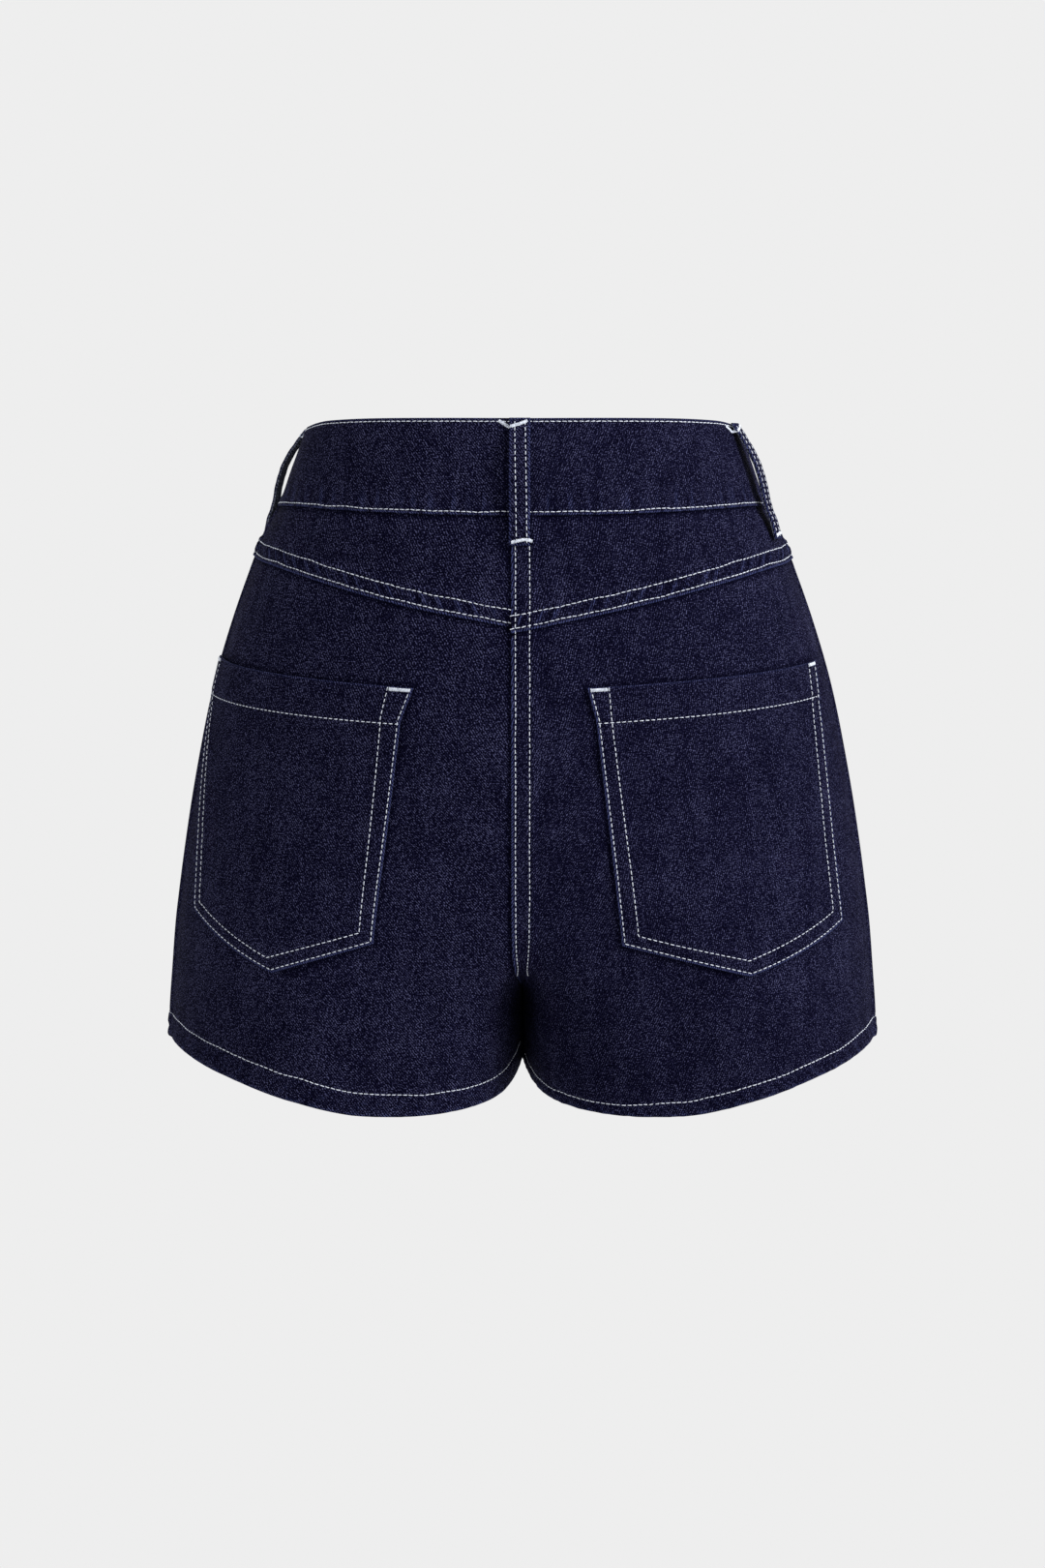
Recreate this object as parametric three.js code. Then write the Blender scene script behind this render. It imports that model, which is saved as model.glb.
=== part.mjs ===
import * as THREE from 'three';

// High-waisted A-line denim shorts, filled out as when they are worn. Millimetres, +Z up, +Y to the
// wearer's front and +X to the wearer's right. The origin is the middle of the waist, at half the height
// of the waistband. Left and right are the wearer's.

// Cloth
const denim = 1.2;              // one layer of cloth
const bandWall = 2.4;           // waistband: two layers and their turned edges
const hemWall = 2.4;            // leg hem: one layer turned inside
const hemHeight = 13;           // from the hem's fold up to its stitching
const hemStep = 1;              // height over which the wall thickens to the hem
const seamGap = 0.3;            // space between two pieces at a seam
const layGap = 0.6;             // space under what lies on a panel, more than the facets' depth

// Belt loops
const loopWidth = 10.5;
const loopWall = 1.8;
const loopFoot = -40.5;         // height of the lower end, below the waistband

// Front closing
const overlapEnd = 12;          // the right end of the waistband runs this far past the centre front
const underlapEnd = 34;         // and the left end this far, behind it
const underlapTurn = 12;        // length over which the left end steps in behind the right one
const shieldHalf = 19;          // half width of the strip behind the opening
const shieldFoot = -158;        // height of its lower end
const buttonRadius = 8.5;
const buttonRim = 1.1;
const buttonDome = 2.6;
const buttonHeight = -6;

// The form. Each half is an oval tube around one leg, cut at the middle plane above the crotch. cleft is
// the tube's centre as a share of its half width: 0 puts the centre on the middle plane, and above 1 the
// leg hangs free. seam is the side seam's angle behind the widest line, in degrees. outer and inner are the
// oval's exponents on its outer side and towards the other leg. fold is the angle, before and behind the
// widest line, inside which the facets follow the cloth as it turns in towards the crotch.
const levels = [
  { z: 26, half: 114.4, back: 90, front: 83, cleft: 0, seam: 7, outer: 2.2, inner: 4.5, fold: 60 },
  { z: 0, half: 124.6, back: 95, front: 87, cleft: 0, seam: 7, outer: 2.2, inner: 4.5, fold: 60 },
  { z: -24, half: 133.6, back: 100.5, front: 91, cleft: 0, seam: 7, outer: 2.18, inner: 4.5, fold: 60 },
  { z: -33, half: 139.2, back: 104.5, front: 93, cleft: 0, seam: 7, outer: 2.16, inner: 4.5, fold: 60 },
  { z: -52, half: 147.2, back: 107.5, front: 95, cleft: 0, seam: 7, outer: 2.14, inner: 4.5, fold: 60 },
  { z: -85, half: 159.8, back: 113, front: 97.5, cleft: 0, seam: 7.5, outer: 2.12, inner: 4.5, fold: 60 },
  { z: -120, half: 171, back: 118, front: 99.5, cleft: 0, seam: 8, outer: 2.08, inner: 4.5, fold: 60 },
  { z: -150, half: 178.4, back: 120.5, front: 101, cleft: 0, seam: 9, outer: 2.05, inner: 4.5, fold: 62 },
  { z: -190, half: 186.7, back: 121, front: 101.9, cleft: 0.1, seam: 10.1, outer: 2.01, inner: 4.5, fold: 71 },
  { z: -215, half: 191, back: 120.6, front: 102, cleft: 0.32, seam: 11.3, outer: 1.98, inner: 4.5, fold: 81 },
  { z: -235, half: 194.1, back: 119.7, front: 101.9, cleft: 0.56, seam: 12.4, outer: 1.95, inner: 4.5, fold: 91 },
  { z: -250, half: 196.2, back: 118.9, front: 101.4, cleft: 0.74, seam: 13.1, outer: 1.94, inner: 4.4, fold: 98 },
  { z: -262, half: 197.6, back: 118.5, front: 101, cleft: 0.863, seam: 13.6, outer: 1.92, inner: 4.2, fold: 104 },
  { z: -273, half: 198.7, back: 118, front: 100.5, cleft: 0.943, seam: 14, outer: 1.91, inner: 4, fold: 107 },
  { z: -284, half: 199.9, back: 117.5, front: 100, cleft: 0.987, seam: 14.4, outer: 1.9, inner: 3.8, fold: 109 },
  { z: -296, half: 201.2, back: 116.9, front: 99.7, cleft: 1.0016, seam: 14.8, outer: 1.9, inner: 3.6, fold: 110 },
  { z: -318, half: 203.2, back: 116, front: 99, cleft: 1.0016, seam: 15.5, outer: 1.88, inner: 3.3, fold: 110 },
  { z: -350, half: 205.8, back: 115, front: 98, cleft: 1.0016, seam: 16, outer: 1.86, inner: 2.9, fold: 110 },
];
const crotchHeight = -296;

// Heights of the lines that the pieces are cut to, by the way round from centre back 0 to centre front 1
const topLine = [
  { round: 0, z: 22.6 },
  { round: 0.2, z: 22.9 },
  { round: 0.32, z: 22.2 },
  { round: 0.42, z: 19.7 },
  { round: 0.6, z: 17.6 },
  { round: 1, z: 16.5 },
];
const bandLine = [
  { round: 0, z: -25 },
  { round: 0.16, z: -23.4 },
  { round: 0.34, z: -22.4 },
  { round: 0.52, z: -24 },
  { round: 1, z: -29 },
];
const yokeLines = {
  left: [
    { round: 0, z: -81.2 },
    { round: 0.11, z: -70.5 },
    { round: 0.24, z: -59.8 },
    { round: 0.35, z: -53.4 },
    { round: 0.5, z: -49.6 },
  ],
  right: [
    { round: 0, z: -83.2 },
    { round: 0.11, z: -71.1 },
    { round: 0.24, z: -59.7 },
    { round: 0.35, z: -54.3 },
    { round: 0.5, z: -51.5 },
  ],
};
const hemLine = [
  { round: 0, z: -334.5 },
  { round: 0.1, z: -336 },
  { round: 0.17, z: -336.8 },
  { round: 0.22, z: -335.6 },
  { round: 0.28, z: -328.2 },
  { round: 0.35, z: -320.6 },
  { round: 0.42, z: -318 },
  { round: 0.6, z: -320 },
  { round: 0.8, z: -329 },
  { round: 1, z: -334.5 },
];

// Corners of the patch pockets, by the distance along the cloth from the centre back and the height. The
// sides bend a little at the foot of the turned top hem.
const pockets = {
  left: {
    innerTop: { fromBack: 54.5, z: -111 },
    outerTop: { fromBack: 206, z: -104.5 },
    innerBend: { fromBack: 60.5, z: -130 },
    outerBend: { fromBack: 207.5, z: -124 },
    innerFoot: { fromBack: 75, z: -241 },
    tip: { fromBack: 134, z: -259.5 },
    outerFoot: { fromBack: 197, z: -238.5 },
  },
  right: {
    innerTop: { fromBack: 32, z: -110.5 },
    outerTop: { fromBack: 180.5, z: -104.5 },
    innerBend: { fromBack: 35, z: -130 },
    outerBend: { fromBack: 180, z: -124.5 },
    innerFoot: { fromBack: 50.5, z: -242.5 },
    tip: { fromBack: 121, z: -260 },
    outerFoot: { fromBack: 187.5, z: -241.5 },
  },
};

// Belt loops, by the angle round the waist from the centre back. rise is how far the middle stands off
// beyond the ends.
const loops = [
  { name: 'loop_back', side: -1, turn: 0.8, rise: 5 },
  { name: 'loop_left_side', side: -1, turn: 98, rise: 6.4 },
  { name: 'loop_right_side', side: 1, turn: 69, rise: 5 },
  { name: 'loop_left_front', side: -1, turn: 142, rise: 5 },
  { name: 'loop_right_front', side: 1, turn: 142, rise: 5 },
];

// Facets
const outerColumns = 11;        // from a side seam to the fold
const innerColumns = 8;         // from the fold to the middle plane or the inseam
const panelRows = 16;
const roundingHeight = 8;       // depth of the row that follows the cloth's rounding under the waistband
const legRows = 2;
const yokeRows = 4;
const bandColumns = 30;
const bandRows = 3;
const pocketColumns = 10;
const pocketRows = 9;
const loopColumns = 2;
const loopRows = 14;
const shieldColumns = 4;
const shieldRows = 10;
const buttonSides = 24;
const measureSteps = 60;        // for distances along the cloth

const sides = { left: -1, right: 1 };
const denimColour = 0x1a1b33;
const brassColour = 0x8a7a55;

// A smooth curve through a table: it gives a named column for a value of another, and adds no bumps
function columnCurve(table, from, to) {
  const rows = [...table].sort((one, other) => one[from] - other[from]);
  const places = rows.map((row) => row[from]);
  const values = rows.map((row) => row[to]);
  const last = places.length - 1;
  const slopes = [];
  for (let k = 0; k < last; k += 1) {
    slopes.push((values[k + 1] - values[k]) / (places[k + 1] - places[k]));
  }
  const tangents = places.map((place, k) => {
    const before = slopes[Math.max(k - 1, 0)];
    const after = slopes[Math.min(k, last - 1)];
    return before * after > 0 ? 2 * before * after / (before + after) : 0;
  });
  tangents[0] = slopes[0];
  tangents[last] = slopes[last - 1];
  return (at) => {
    const place = THREE.MathUtils.clamp(at, places[0], places[last]);
    let k = 0;
    while (k < last - 1 && places[k + 1] < place) {
      k += 1;
    }
    const step = places[k + 1] - places[k];
    const t = (place - places[k]) / step;
    const start = values[k] * (2 * t ** 3 - 3 * t ** 2 + 1) + tangents[k] * step * (t ** 3 - 2 * t ** 2 + t);
    const end = values[k + 1] * (3 * t ** 2 - 2 * t ** 3) + tangents[k + 1] * step * (t ** 3 - t ** 2);
    return start + end;
  };
}

const halfWidth = columnCurve(levels, 'z', 'half');
const backDepth = columnCurve(levels, 'z', 'back');
const frontDepth = columnCurve(levels, 'z', 'front');
const cleft = columnCurve(levels, 'z', 'cleft');
const seamDegrees = columnCurve(levels, 'z', 'seam');
const foldDegrees = columnCurve(levels, 'z', 'fold');
const outerExponent = columnCurve(levels, 'z', 'outer');
const innerExponent = columnCurve(levels, 'z', 'inner');
const topEdge = mirroredLine(topLine);
const bandFoot = mirroredLine(bandLine);
const hemEdge = columnCurve(hemLine, 'round', 'z');

// A line over the whole waist: past the centre front it comes back as on the first side
function mirroredLine(table) {
  const line = columnCurve(table, 'round', 'z');
  return (round) => line(round > 1 ? 2 - round : round);
}

// A point of one half's oval tube at an angle from its outer side, negative towards the back
function tubePoint(side, angle, z) {
  const share = cleft(z);
  const radius = halfWidth(z) / (1 + share);
  const across = Math.cos(angle);
  const along = Math.sin(angle);
  const exponent = across < 0 && share > 0 ? innerExponent(z) : outerExponent(z);
  const reach = (Math.abs(across) ** exponent + Math.abs(along) ** exponent) ** (-1 / exponent);
  const depth = along < 0 ? backDepth(z) : frontDepth(z);
  return new THREE.Vector3(side * radius * (share + reach * across), depth * reach * along, z);
}

// The angle at which the tube meets the middle plane, or nearly a half turn where the leg hangs free
function endAngle(z) {
  const radius = halfWidth(z) / (1 + cleft(z));
  const share = cleft(z) - seamGap / 2 / radius;
  if (share <= 0) {
    return Math.PI / 2 + share;
  }
  const legEnd = Math.PI - seamGap / 2 / backDepth(z);
  if (share >= 1) {
    return legEnd;
  }
  const power = share ** innerExponent(z);
  const ratio = (power / (1 - power)) ** (1 / innerExponent(z));
  return Math.min(Math.PI / 2 + Math.atan(ratio), legEnd);
}

function roundAngle(round, z) {
  return endAngle(z) * (2 * round - 1);
}

// The tube's outward direction there
function tubeNormal(side, angle, z) {
  const small = 0.01;
  const alongRing = tubePoint(side, angle + small, z).sub(tubePoint(side, angle - small, z));
  const upwards = tubePoint(side, angle, z + 1).sub(tubePoint(side, angle, z - 1));
  return alongRing.cross(upwards).multiplyScalar(side).normalize();
}

// A point of the cloth, moved out from its outer face by lift
function clothPoint(side, angle, z, lift) {
  return tubePoint(side, angle, z).addScaledVector(tubeNormal(side, angle, z), lift);
}

// The angle that one millimetre along the cloth takes at a place
function anglePerMillimetre(angle, z) {
  const small = 0.01;
  return 2 * small / tubePoint(1, angle + small, z).distanceTo(tubePoint(1, angle - small, z));
}

// The angle at a distance along the cloth from the centre back
function angleAtDistance(distance, z) {
  const end = endAngle(z);
  const step = 2 * end / measureSteps;
  let walked = 0;
  let angle = -end;
  let here = tubePoint(1, angle, z);
  while (angle < end) {
    const next = tubePoint(1, angle + step, z);
    const length = next.distanceTo(here);
    if (walked + length >= distance) {
      return angle + step * (distance - walked) / length;
    }
    walked += length;
    angle += step;
    here = next;
  }
  return end;
}

// A closed wall between an outer and an inner grid of points: place(column, row) gives where the cloth
// is, from 0 to 1 each way, and the lifts of its inner and outer faces
function clothWall(side, columns, rows, place) {
  const positions = [];
  const faces = [];
  const layer = columns.length * rows.length;
  for (const face of ['inner', 'outer']) {
    for (const row of rows) {
      for (const column of columns) {
        const spot = place(column, row);
        positions.push(...clothPoint(side, spot.angle, spot.z, spot[face]).toArray());
      }
    }
  }
  const runsForward = place(0, 0).angle < place(1, 0).angle;
  const turnsInwards = runsForward !== side > 0;
  const corner = (face, column, row) => face * layer + row * columns.length + column;
  const quad = (a, b, c, d) => faces.push(a, b, c, a, c, d);
  const lastColumn = columns.length - 1;
  const lastRow = rows.length - 1;
  for (let row = 0; row < lastRow; row += 1) {
    for (let column = 0; column < lastColumn; column += 1) {
      quad(corner(1, column, row), corner(1, column, row + 1),
        corner(1, column + 1, row + 1), corner(1, column + 1, row));
      quad(corner(0, column, row), corner(0, column + 1, row),
        corner(0, column + 1, row + 1), corner(0, column, row + 1));
    }
    quad(corner(0, 0, row), corner(0, 0, row + 1), corner(1, 0, row + 1), corner(1, 0, row));
    quad(corner(1, lastColumn, row), corner(1, lastColumn, row + 1),
      corner(0, lastColumn, row + 1), corner(0, lastColumn, row));
  }
  for (let column = 0; column < lastColumn; column += 1) {
    quad(corner(0, column, 0), corner(1, column, 0), corner(1, column + 1, 0), corner(0, column + 1, 0));
    quad(corner(1, column, lastRow), corner(0, column, lastRow),
      corner(0, column + 1, lastRow), corner(1, column + 1, lastRow));
  }
  if (turnsInwards) {
    faces.reverse();
  }
  const geometry = new THREE.BufferGeometry();
  geometry.setAttribute('position', new THREE.Float32BufferAttribute(positions, 3));
  geometry.setIndex(faces);
  geometry.computeVertexNormals();
  return geometry;
}

function evenSteps(count) {
  return Array.from({ length: count + 1 }, (unused, k) => k / count);
}

// Heights at even distances down a panel's middle edge, from its top to the crotch, where it turns under
function heightsToCrotch(towards, topHeight) {
  const walk = [];
  let walked = 0;
  let last = null;
  for (const t of evenSteps(measureSteps)) {
    const z = THREE.MathUtils.lerp(topHeight, crotchHeight, t);
    const here = tubePoint(1, towards * endAngle(z), z);
    walked += last ? here.distanceTo(last) : 0;
    walk.push({ z, walked });
    last = here;
  }
  const heightAt = columnCurve(walk, 'walked', 'z');
  return evenSteps(panelRows).map((t) => heightAt(t * walked));
}

// Rows of a panel that reaches from its top line to the hem: one close under the top, where the cloth
// rounds out below the waistband, those down to the crotch, and below it the leg's and the two that bound
// the turned hem
function panelRowsTo(towards, topHeight, footHeight) {
  const length = topHeight - footHeight;
  const body = heightsToCrotch(towards, topHeight).map((z) => (topHeight - z) / length);
  const crotch = body[panelRows];
  const hemTop = 1 - hemHeight / length;
  const leg = evenSteps(legRows).slice(1, -1).map((t) => crotch + (hemTop - crotch) * t);
  const rows = [...body, roundingHeight / length, ...leg, hemTop - hemStep / length, hemTop, 1];
  return rows.sort((one, other) => one - other);
}

// The side seam, half the seam's gap to one side of its line: -1 is the back's edge and 1 the front's
function seamEdge(z, towards) {
  const angle = -THREE.MathUtils.degToRad(seamDegrees(z));
  return angle + towards * anglePerMillimetre(angle, z) * seamGap / 2;
}

// The columns of a panel or yoke, from the middle plane at 0 to the side seam at 1
const foldColumn = innerColumns / (innerColumns + outerColumns);
const halfColumns = evenSteps(innerColumns + outerColumns);

// The angle of a column at a height, on the back with towards -1 or on the front with towards 1
function columnAngle(towards, column, z) {
  const fold = towards * THREE.MathUtils.degToRad(foldDegrees(z));
  return column < foldColumn
    ? THREE.MathUtils.lerp(towards * endAngle(z), fold, column / foldColumn)
    : THREE.MathUtils.lerp(fold, seamEdge(z, towards), (column - foldColumn) / (1 - foldColumn));
}

// Where a column and a share of the way down a piece fall, between its top line and its foot
function spotBetween(towards, top, foot, column, row) {
  const heightOf = (line) => line.z((columnAngle(towards, column, line.near) / endAngle(line.near) + 1) / 2);
  const z = THREE.MathUtils.lerp(heightOf(top), heightOf(foot), row);
  return { angle: columnAngle(towards, column, z), z };
}

const underBand = { z: (round) => bandFoot(round) - seamGap, near: bandLine[0].z };
const legHem = { z: hemEdge, near: hemLine[0].z };

// One panel of a half, down to the turned hem: the back with towards -1, the front with towards 1
function panel(side, towards, top) {
  const middle = towards < 0 ? 0 : 1;
  const middleTop = top.z(middle);
  const middleFoot = hemEdge(middle);
  const turned = 1 - (hemHeight + seamGap) / (middleTop - middleFoot);
  return clothWall(side, halfColumns, panelRowsTo(towards, middleTop, middleFoot), (column, row) => {
    const spot = spotBetween(towards, top, legHem, column, row);
    return { ...spot, inner: row >= turned ? -hemWall : -denim, outer: 0 };
  });
}

// Back yoke, between the waistband and the back panel
function yoke(side, foot) {
  return clothWall(side, halfColumns, evenSteps(yokeRows), (column, row) => {
    const spot = spotBetween(-1, underBand, foot, column, row);
    return { ...spot, inner: -denim, outer: 0 };
  });
}

// Half of the waistband, from the centre back to its end past the centre front. The left end steps in
// behind the right one.
function waistband(side, pastCentre, stepsIn) {
  const quarter = Math.PI / 2;
  const perMillimetre = anglePerMillimetre(quarter, 0);
  const start = -endAngle(0);
  const end = quarter + pastCentre * perMillimetre;
  const stepEnd = quarter - (overlapEnd + seamGap) * perMillimetre;
  const stepStart = stepEnd - underlapTurn * perMillimetre;
  const inset = stepsIn ? bandWall + layGap : 0;
  const stepColumns = [stepStart, stepEnd].map((angle) => (angle - start) / (end - start));
  const columns = [...evenSteps(bandColumns), ...stepColumns].sort((one, other) => one - other);
  return clothWall(side, columns, evenSteps(bandRows), (column, row) => {
    const angle = THREE.MathUtils.lerp(start, end, column);
    const round = (angle / quarter + 1) / 2;
    const z = THREE.MathUtils.lerp(topEdge(round), bandFoot(round), row);
    const shift = inset * THREE.MathUtils.smoothstep(angle, stepStart, stepEnd);
    return { angle, z, inner: -bandWall - shift, outer: -shift };
  });
}

// Five-sided patch pocket, laid on the back panel
function pocket(side, corners) {
  const tipColumn = 0.5;
  const bendRow = 0.14;
  const mix = (one, other, t) => ({
    fromBack: THREE.MathUtils.lerp(one.fromBack, other.fromBack, t),
    z: THREE.MathUtils.lerp(one.z, other.z, t),
  });
  const evenRows = evenSteps(pocketRows).filter((row) => row === 0 || row > bendRow);
  const rows = [...evenRows, bendRow].sort((one, other) => one - other);
  return clothWall(side, evenSteps(pocketColumns), rows, (column, row) => {
    const top = mix(corners.innerTop, corners.outerTop, column);
    const bend = mix(corners.innerBend, corners.outerBend, column);
    const foot = column < tipColumn
      ? mix(corners.innerFoot, corners.tip, column / tipColumn)
      : mix(corners.tip, corners.outerFoot, (column - tipColumn) / (1 - tipColumn));
    const spot = row < bendRow
      ? mix(top, bend, row / bendRow)
      : mix(bend, foot, (row - bendRow) / (1 - bendRow));
    const angle = angleAtDistance(spot.fromBack, spot.z);
    return { angle, z: spot.z, inner: layGap, outer: layGap + denim };
  });
}

// Belt loop: a folded strip from the waistband's top edge to below its foot, bowed off the cloth, more
// so above its middle
function beltLoop({ side, turn, rise }) {
  const centre = THREE.MathUtils.degToRad(turn - 90);
  const bowPlace = 0.88;
  const bowEnds = 1.2;
  return clothWall(side, evenSteps(loopColumns), evenSteps(loopRows), (column, row) => {
    const z = THREE.MathUtils.lerp(topEdge(turn / 180) - seamGap, loopFoot, row);
    const angle = centre + (column - 0.5) * loopWidth * anglePerMillimetre(centre, z);
    const lift = layGap + rise * Math.max(Math.sin(Math.PI * row ** bowPlace), 0) ** bowEnds;
    return { angle, z, inner: lift, outer: lift + loopWall };
  });
}

// Strip behind the front opening, carried on from the waistband's underlap
function flyShield() {
  const quarter = Math.PI / 2;
  return clothWall(1, evenSteps(shieldColumns), evenSteps(shieldRows), (column, row) => {
    const z = THREE.MathUtils.lerp(bandFoot(1) - seamGap, shieldFoot, row);
    const angle = quarter + (2 * column - 1) * shieldHalf * anglePerMillimetre(quarter, z);
    return { angle, z, inner: -2 * denim - layGap, outer: -denim - layGap };
  });
}

// Metal button with a rim and a low dome, turned so that its axis points out of the waistband
function button() {
  const profile = [
    new THREE.Vector2(0, 0),
    new THREE.Vector2(buttonRadius, 0),
    new THREE.Vector2(buttonRadius, buttonRim),
    new THREE.Vector2(buttonRadius - buttonRim, buttonDome - buttonRim / 2),
    new THREE.Vector2(buttonRadius / 2, buttonDome),
    new THREE.Vector2(0, buttonDome),
  ];
  return new THREE.LatheGeometry(profile, buttonSides);
}

function addPiece(group, name, geometry, material) {
  const mesh = new THREE.Mesh(geometry, material);
  mesh.name = name;
  group.add(mesh);
  return mesh;
}

function denimMaterial() {
  return new THREE.MeshStandardMaterial({ color: denimColour, roughness: 0.92, metalness: 0 });
}

const shorts = new THREE.Group();
for (const [hand, side] of Object.entries(sides)) {
  const isLeft = hand === 'left';
  const yokeEdge = columnCurve(yokeLines[hand], 'round', 'z');
  const yokeFoot = { z: yokeEdge, near: yokeLines[hand][0].z };
  const backTop = { z: (round) => yokeEdge(round) - seamGap, near: yokeLines[hand][0].z };
  const pieces = {
    waistband: waistband(side, isLeft ? underlapEnd : overlapEnd, isLeft),
    yoke: yoke(side, yokeFoot),
    back: panel(side, -1, backTop),
    front: panel(side, 1, underBand),
    pocket: pocket(side, pockets[hand]),
  };
  for (const [piece, geometry] of Object.entries(pieces)) {
    addPiece(shorts, `${piece}_${hand}`, geometry, denimMaterial());
  }
}
for (const loop of loops) {
  addPiece(shorts, loop.name, beltLoop(loop), denimMaterial());
}
addPiece(shorts, 'fly_shield', flyShield(), denimMaterial());

const brass = new THREE.MeshStandardMaterial({ color: brassColour, roughness: 0.35, metalness: 1 });
const buttonMesh = addPiece(shorts, 'button', button(), brass);
const outwards = tubeNormal(1, Math.PI / 2, buttonHeight);
buttonMesh.position.copy(clothPoint(1, Math.PI / 2, buttonHeight, seamGap));
buttonMesh.quaternion.setFromUnitVectors(new THREE.Vector3(0, 1, 0), outwards);

export default shorts;
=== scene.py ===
import math

import bpy
import numpy as np
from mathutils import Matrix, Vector
from mathutils.bvhtree import BVHTree


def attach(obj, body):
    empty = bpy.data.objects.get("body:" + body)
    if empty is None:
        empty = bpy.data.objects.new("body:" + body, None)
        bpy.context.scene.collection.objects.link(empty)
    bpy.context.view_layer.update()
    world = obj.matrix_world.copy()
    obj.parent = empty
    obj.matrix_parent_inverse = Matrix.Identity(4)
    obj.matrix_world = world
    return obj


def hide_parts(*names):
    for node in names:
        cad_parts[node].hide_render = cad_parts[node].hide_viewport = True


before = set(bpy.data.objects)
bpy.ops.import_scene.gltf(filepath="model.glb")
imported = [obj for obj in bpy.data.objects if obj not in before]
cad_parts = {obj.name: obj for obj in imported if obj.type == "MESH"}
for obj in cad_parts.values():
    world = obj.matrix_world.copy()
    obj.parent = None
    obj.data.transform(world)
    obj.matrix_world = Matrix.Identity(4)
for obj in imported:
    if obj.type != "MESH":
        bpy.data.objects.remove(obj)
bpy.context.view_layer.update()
mm = 0.001
quarter = math.pi / 2


def addObject(name, data):
    made = bpy.data.objects.new(name, data)
    bpy.context.scene.collection.objects.link(made)
    return made


# Camera
camera = {
    "distance": 1.05, "aimHeight": -0.17958, "pitch": 10.0, "focalPixels": 1909.1, "imageHeight": 1620,
    "sensor": 36.0, "clip": (0.01, 50),
}


def makeCamera():
    data = bpy.data.cameras.new("camera")
    data.sensor_width = camera["sensor"]
    data.lens = camera["focalPixels"] / camera["imageHeight"] * camera["sensor"]
    data.clip_start, data.clip_end = camera["clip"]
    viewer = addObject("camera", data)
    pitch = math.radians(camera["pitch"])
    height = camera["aimHeight"] + camera["distance"] * math.sin(pitch)
    viewer.location = (0, -camera["distance"] * math.cos(pitch), height)
    viewer.rotation_euler = (quarter - pitch, 0, 0)
    bpy.context.scene.camera = viewer


makeCamera()
print("camera ready")

# The form of the shorts, in millimetres: each half is an oval tube round one leg, cut at the middle plane
# above the crotch. cleft is the tube's centre as a share of its half width, seam the side seam's angle
# behind the widest line, outer and inner the oval's exponents, fold the angle where the columns follow the turn.
levelNames = ("z", "half", "back", "front", "cleft", "seam", "outer", "inner", "fold")
levels = np.array([
    (26, 114.4, 90, 83, 0, 7, 2.2, 4.5, 60),
    (0, 124.6, 95, 87, 0, 7, 2.2, 4.5, 60),
    (-24, 133.6, 100.5, 91, 0, 7, 2.18, 4.5, 60),
    (-33, 139.2, 104.5, 93, 0, 7, 2.16, 4.5, 60),
    (-52, 147.2, 107.5, 95, 0, 7, 2.14, 4.5, 60),
    (-85, 159.8, 113, 97.5, 0, 7.5, 2.12, 4.5, 60),
    (-120, 171, 118, 99.5, 0, 8, 2.08, 4.5, 60),
    (-150, 178.4, 120.5, 101, 0, 9, 2.05, 4.5, 62),
    (-190, 186.7, 121, 101.9, 0.1, 10.1, 2.01, 4.5, 71),
    (-215, 191, 120.6, 102, 0.32, 11.3, 1.98, 4.5, 81),
    (-235, 194.1, 119.7, 101.9, 0.56, 12.4, 1.95, 4.5, 91),
    (-250, 196.2, 118.9, 101.4, 0.74, 13.1, 1.94, 4.4, 98),
    (-262, 197.6, 118.5, 101, 0.863, 13.6, 1.92, 4.2, 104),
    (-273, 198.7, 118, 100.5, 0.943, 14, 1.91, 4, 107),
    (-284, 199.9, 117.5, 100, 0.987, 14.4, 1.9, 3.8, 109),
    (-296, 201.2, 116.9, 99.7, 1.0016, 14.8, 1.9, 3.6, 110),
    (-318, 203.2, 116, 99, 1.0016, 15.5, 1.88, 3.3, 110),
    (-350, 205.8, 115, 98, 1.0016, 16, 1.86, 2.9, 110),
], float)
crotchHeight = -296.0

# Heights of the lines that the pieces are cut to, by the way round from centre back 0 to centre front 1
topLine = [(0, 22.6), (0.2, 22.9), (0.32, 22.2), (0.42, 19.7), (0.6, 17.6), (1, 16.5)]
bandLine = [
    (0, -25.8), (0.06, -25.6), (0.13, -25.1), (0.16, -24.7), (0.25, -23.5), (0.34, -22.5), (0.52, -24),
    (1, -29),
]
yokeLines = {
    "left": [
        (0, -81.6), (0.05, -77.1), (0.11, -71.9), (0.18, -65.1), (0.24, -59.5), (0.29, -55.8),
        (0.35, -52.8), (0.5, -49.6),
    ],
    "right": [
        (0, -82.6), (0.04, -78.5), (0.073, -75.3), (0.11, -71.8), (0.14, -69.0), (0.17, -66.1),
        (0.21, -62.5), (0.25, -59.3), (0.31, -55.5), (0.35, -54.0), (0.5, -51.5),
    ],
}
hemLine = [
    (0, -334.5), (0.1, -336), (0.17, -336.8), (0.22, -335.6), (0.28, -328.2),
    (0.35, -320.6), (0.42, -318), (0.6, -320), (0.8, -329), (1, -334.5),
]

cloth = {  # felled and sideLap: where a lap starts and ends to fall; edge: a cut edge's radius and most draw
    "denim": 1.2, "gap": 0.3, "nominalHalf": 240.0, "lapRise": 1.25, "lapBlend": 13.0, "felled": (5.0, 8.5),
    "sideLap": (2.5, 6.5), "edge": (0.6, 0.55), "lapWear": (0.5, 0.3, 0.5),
}
hands = {"left": -1, "right": 1}


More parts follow.
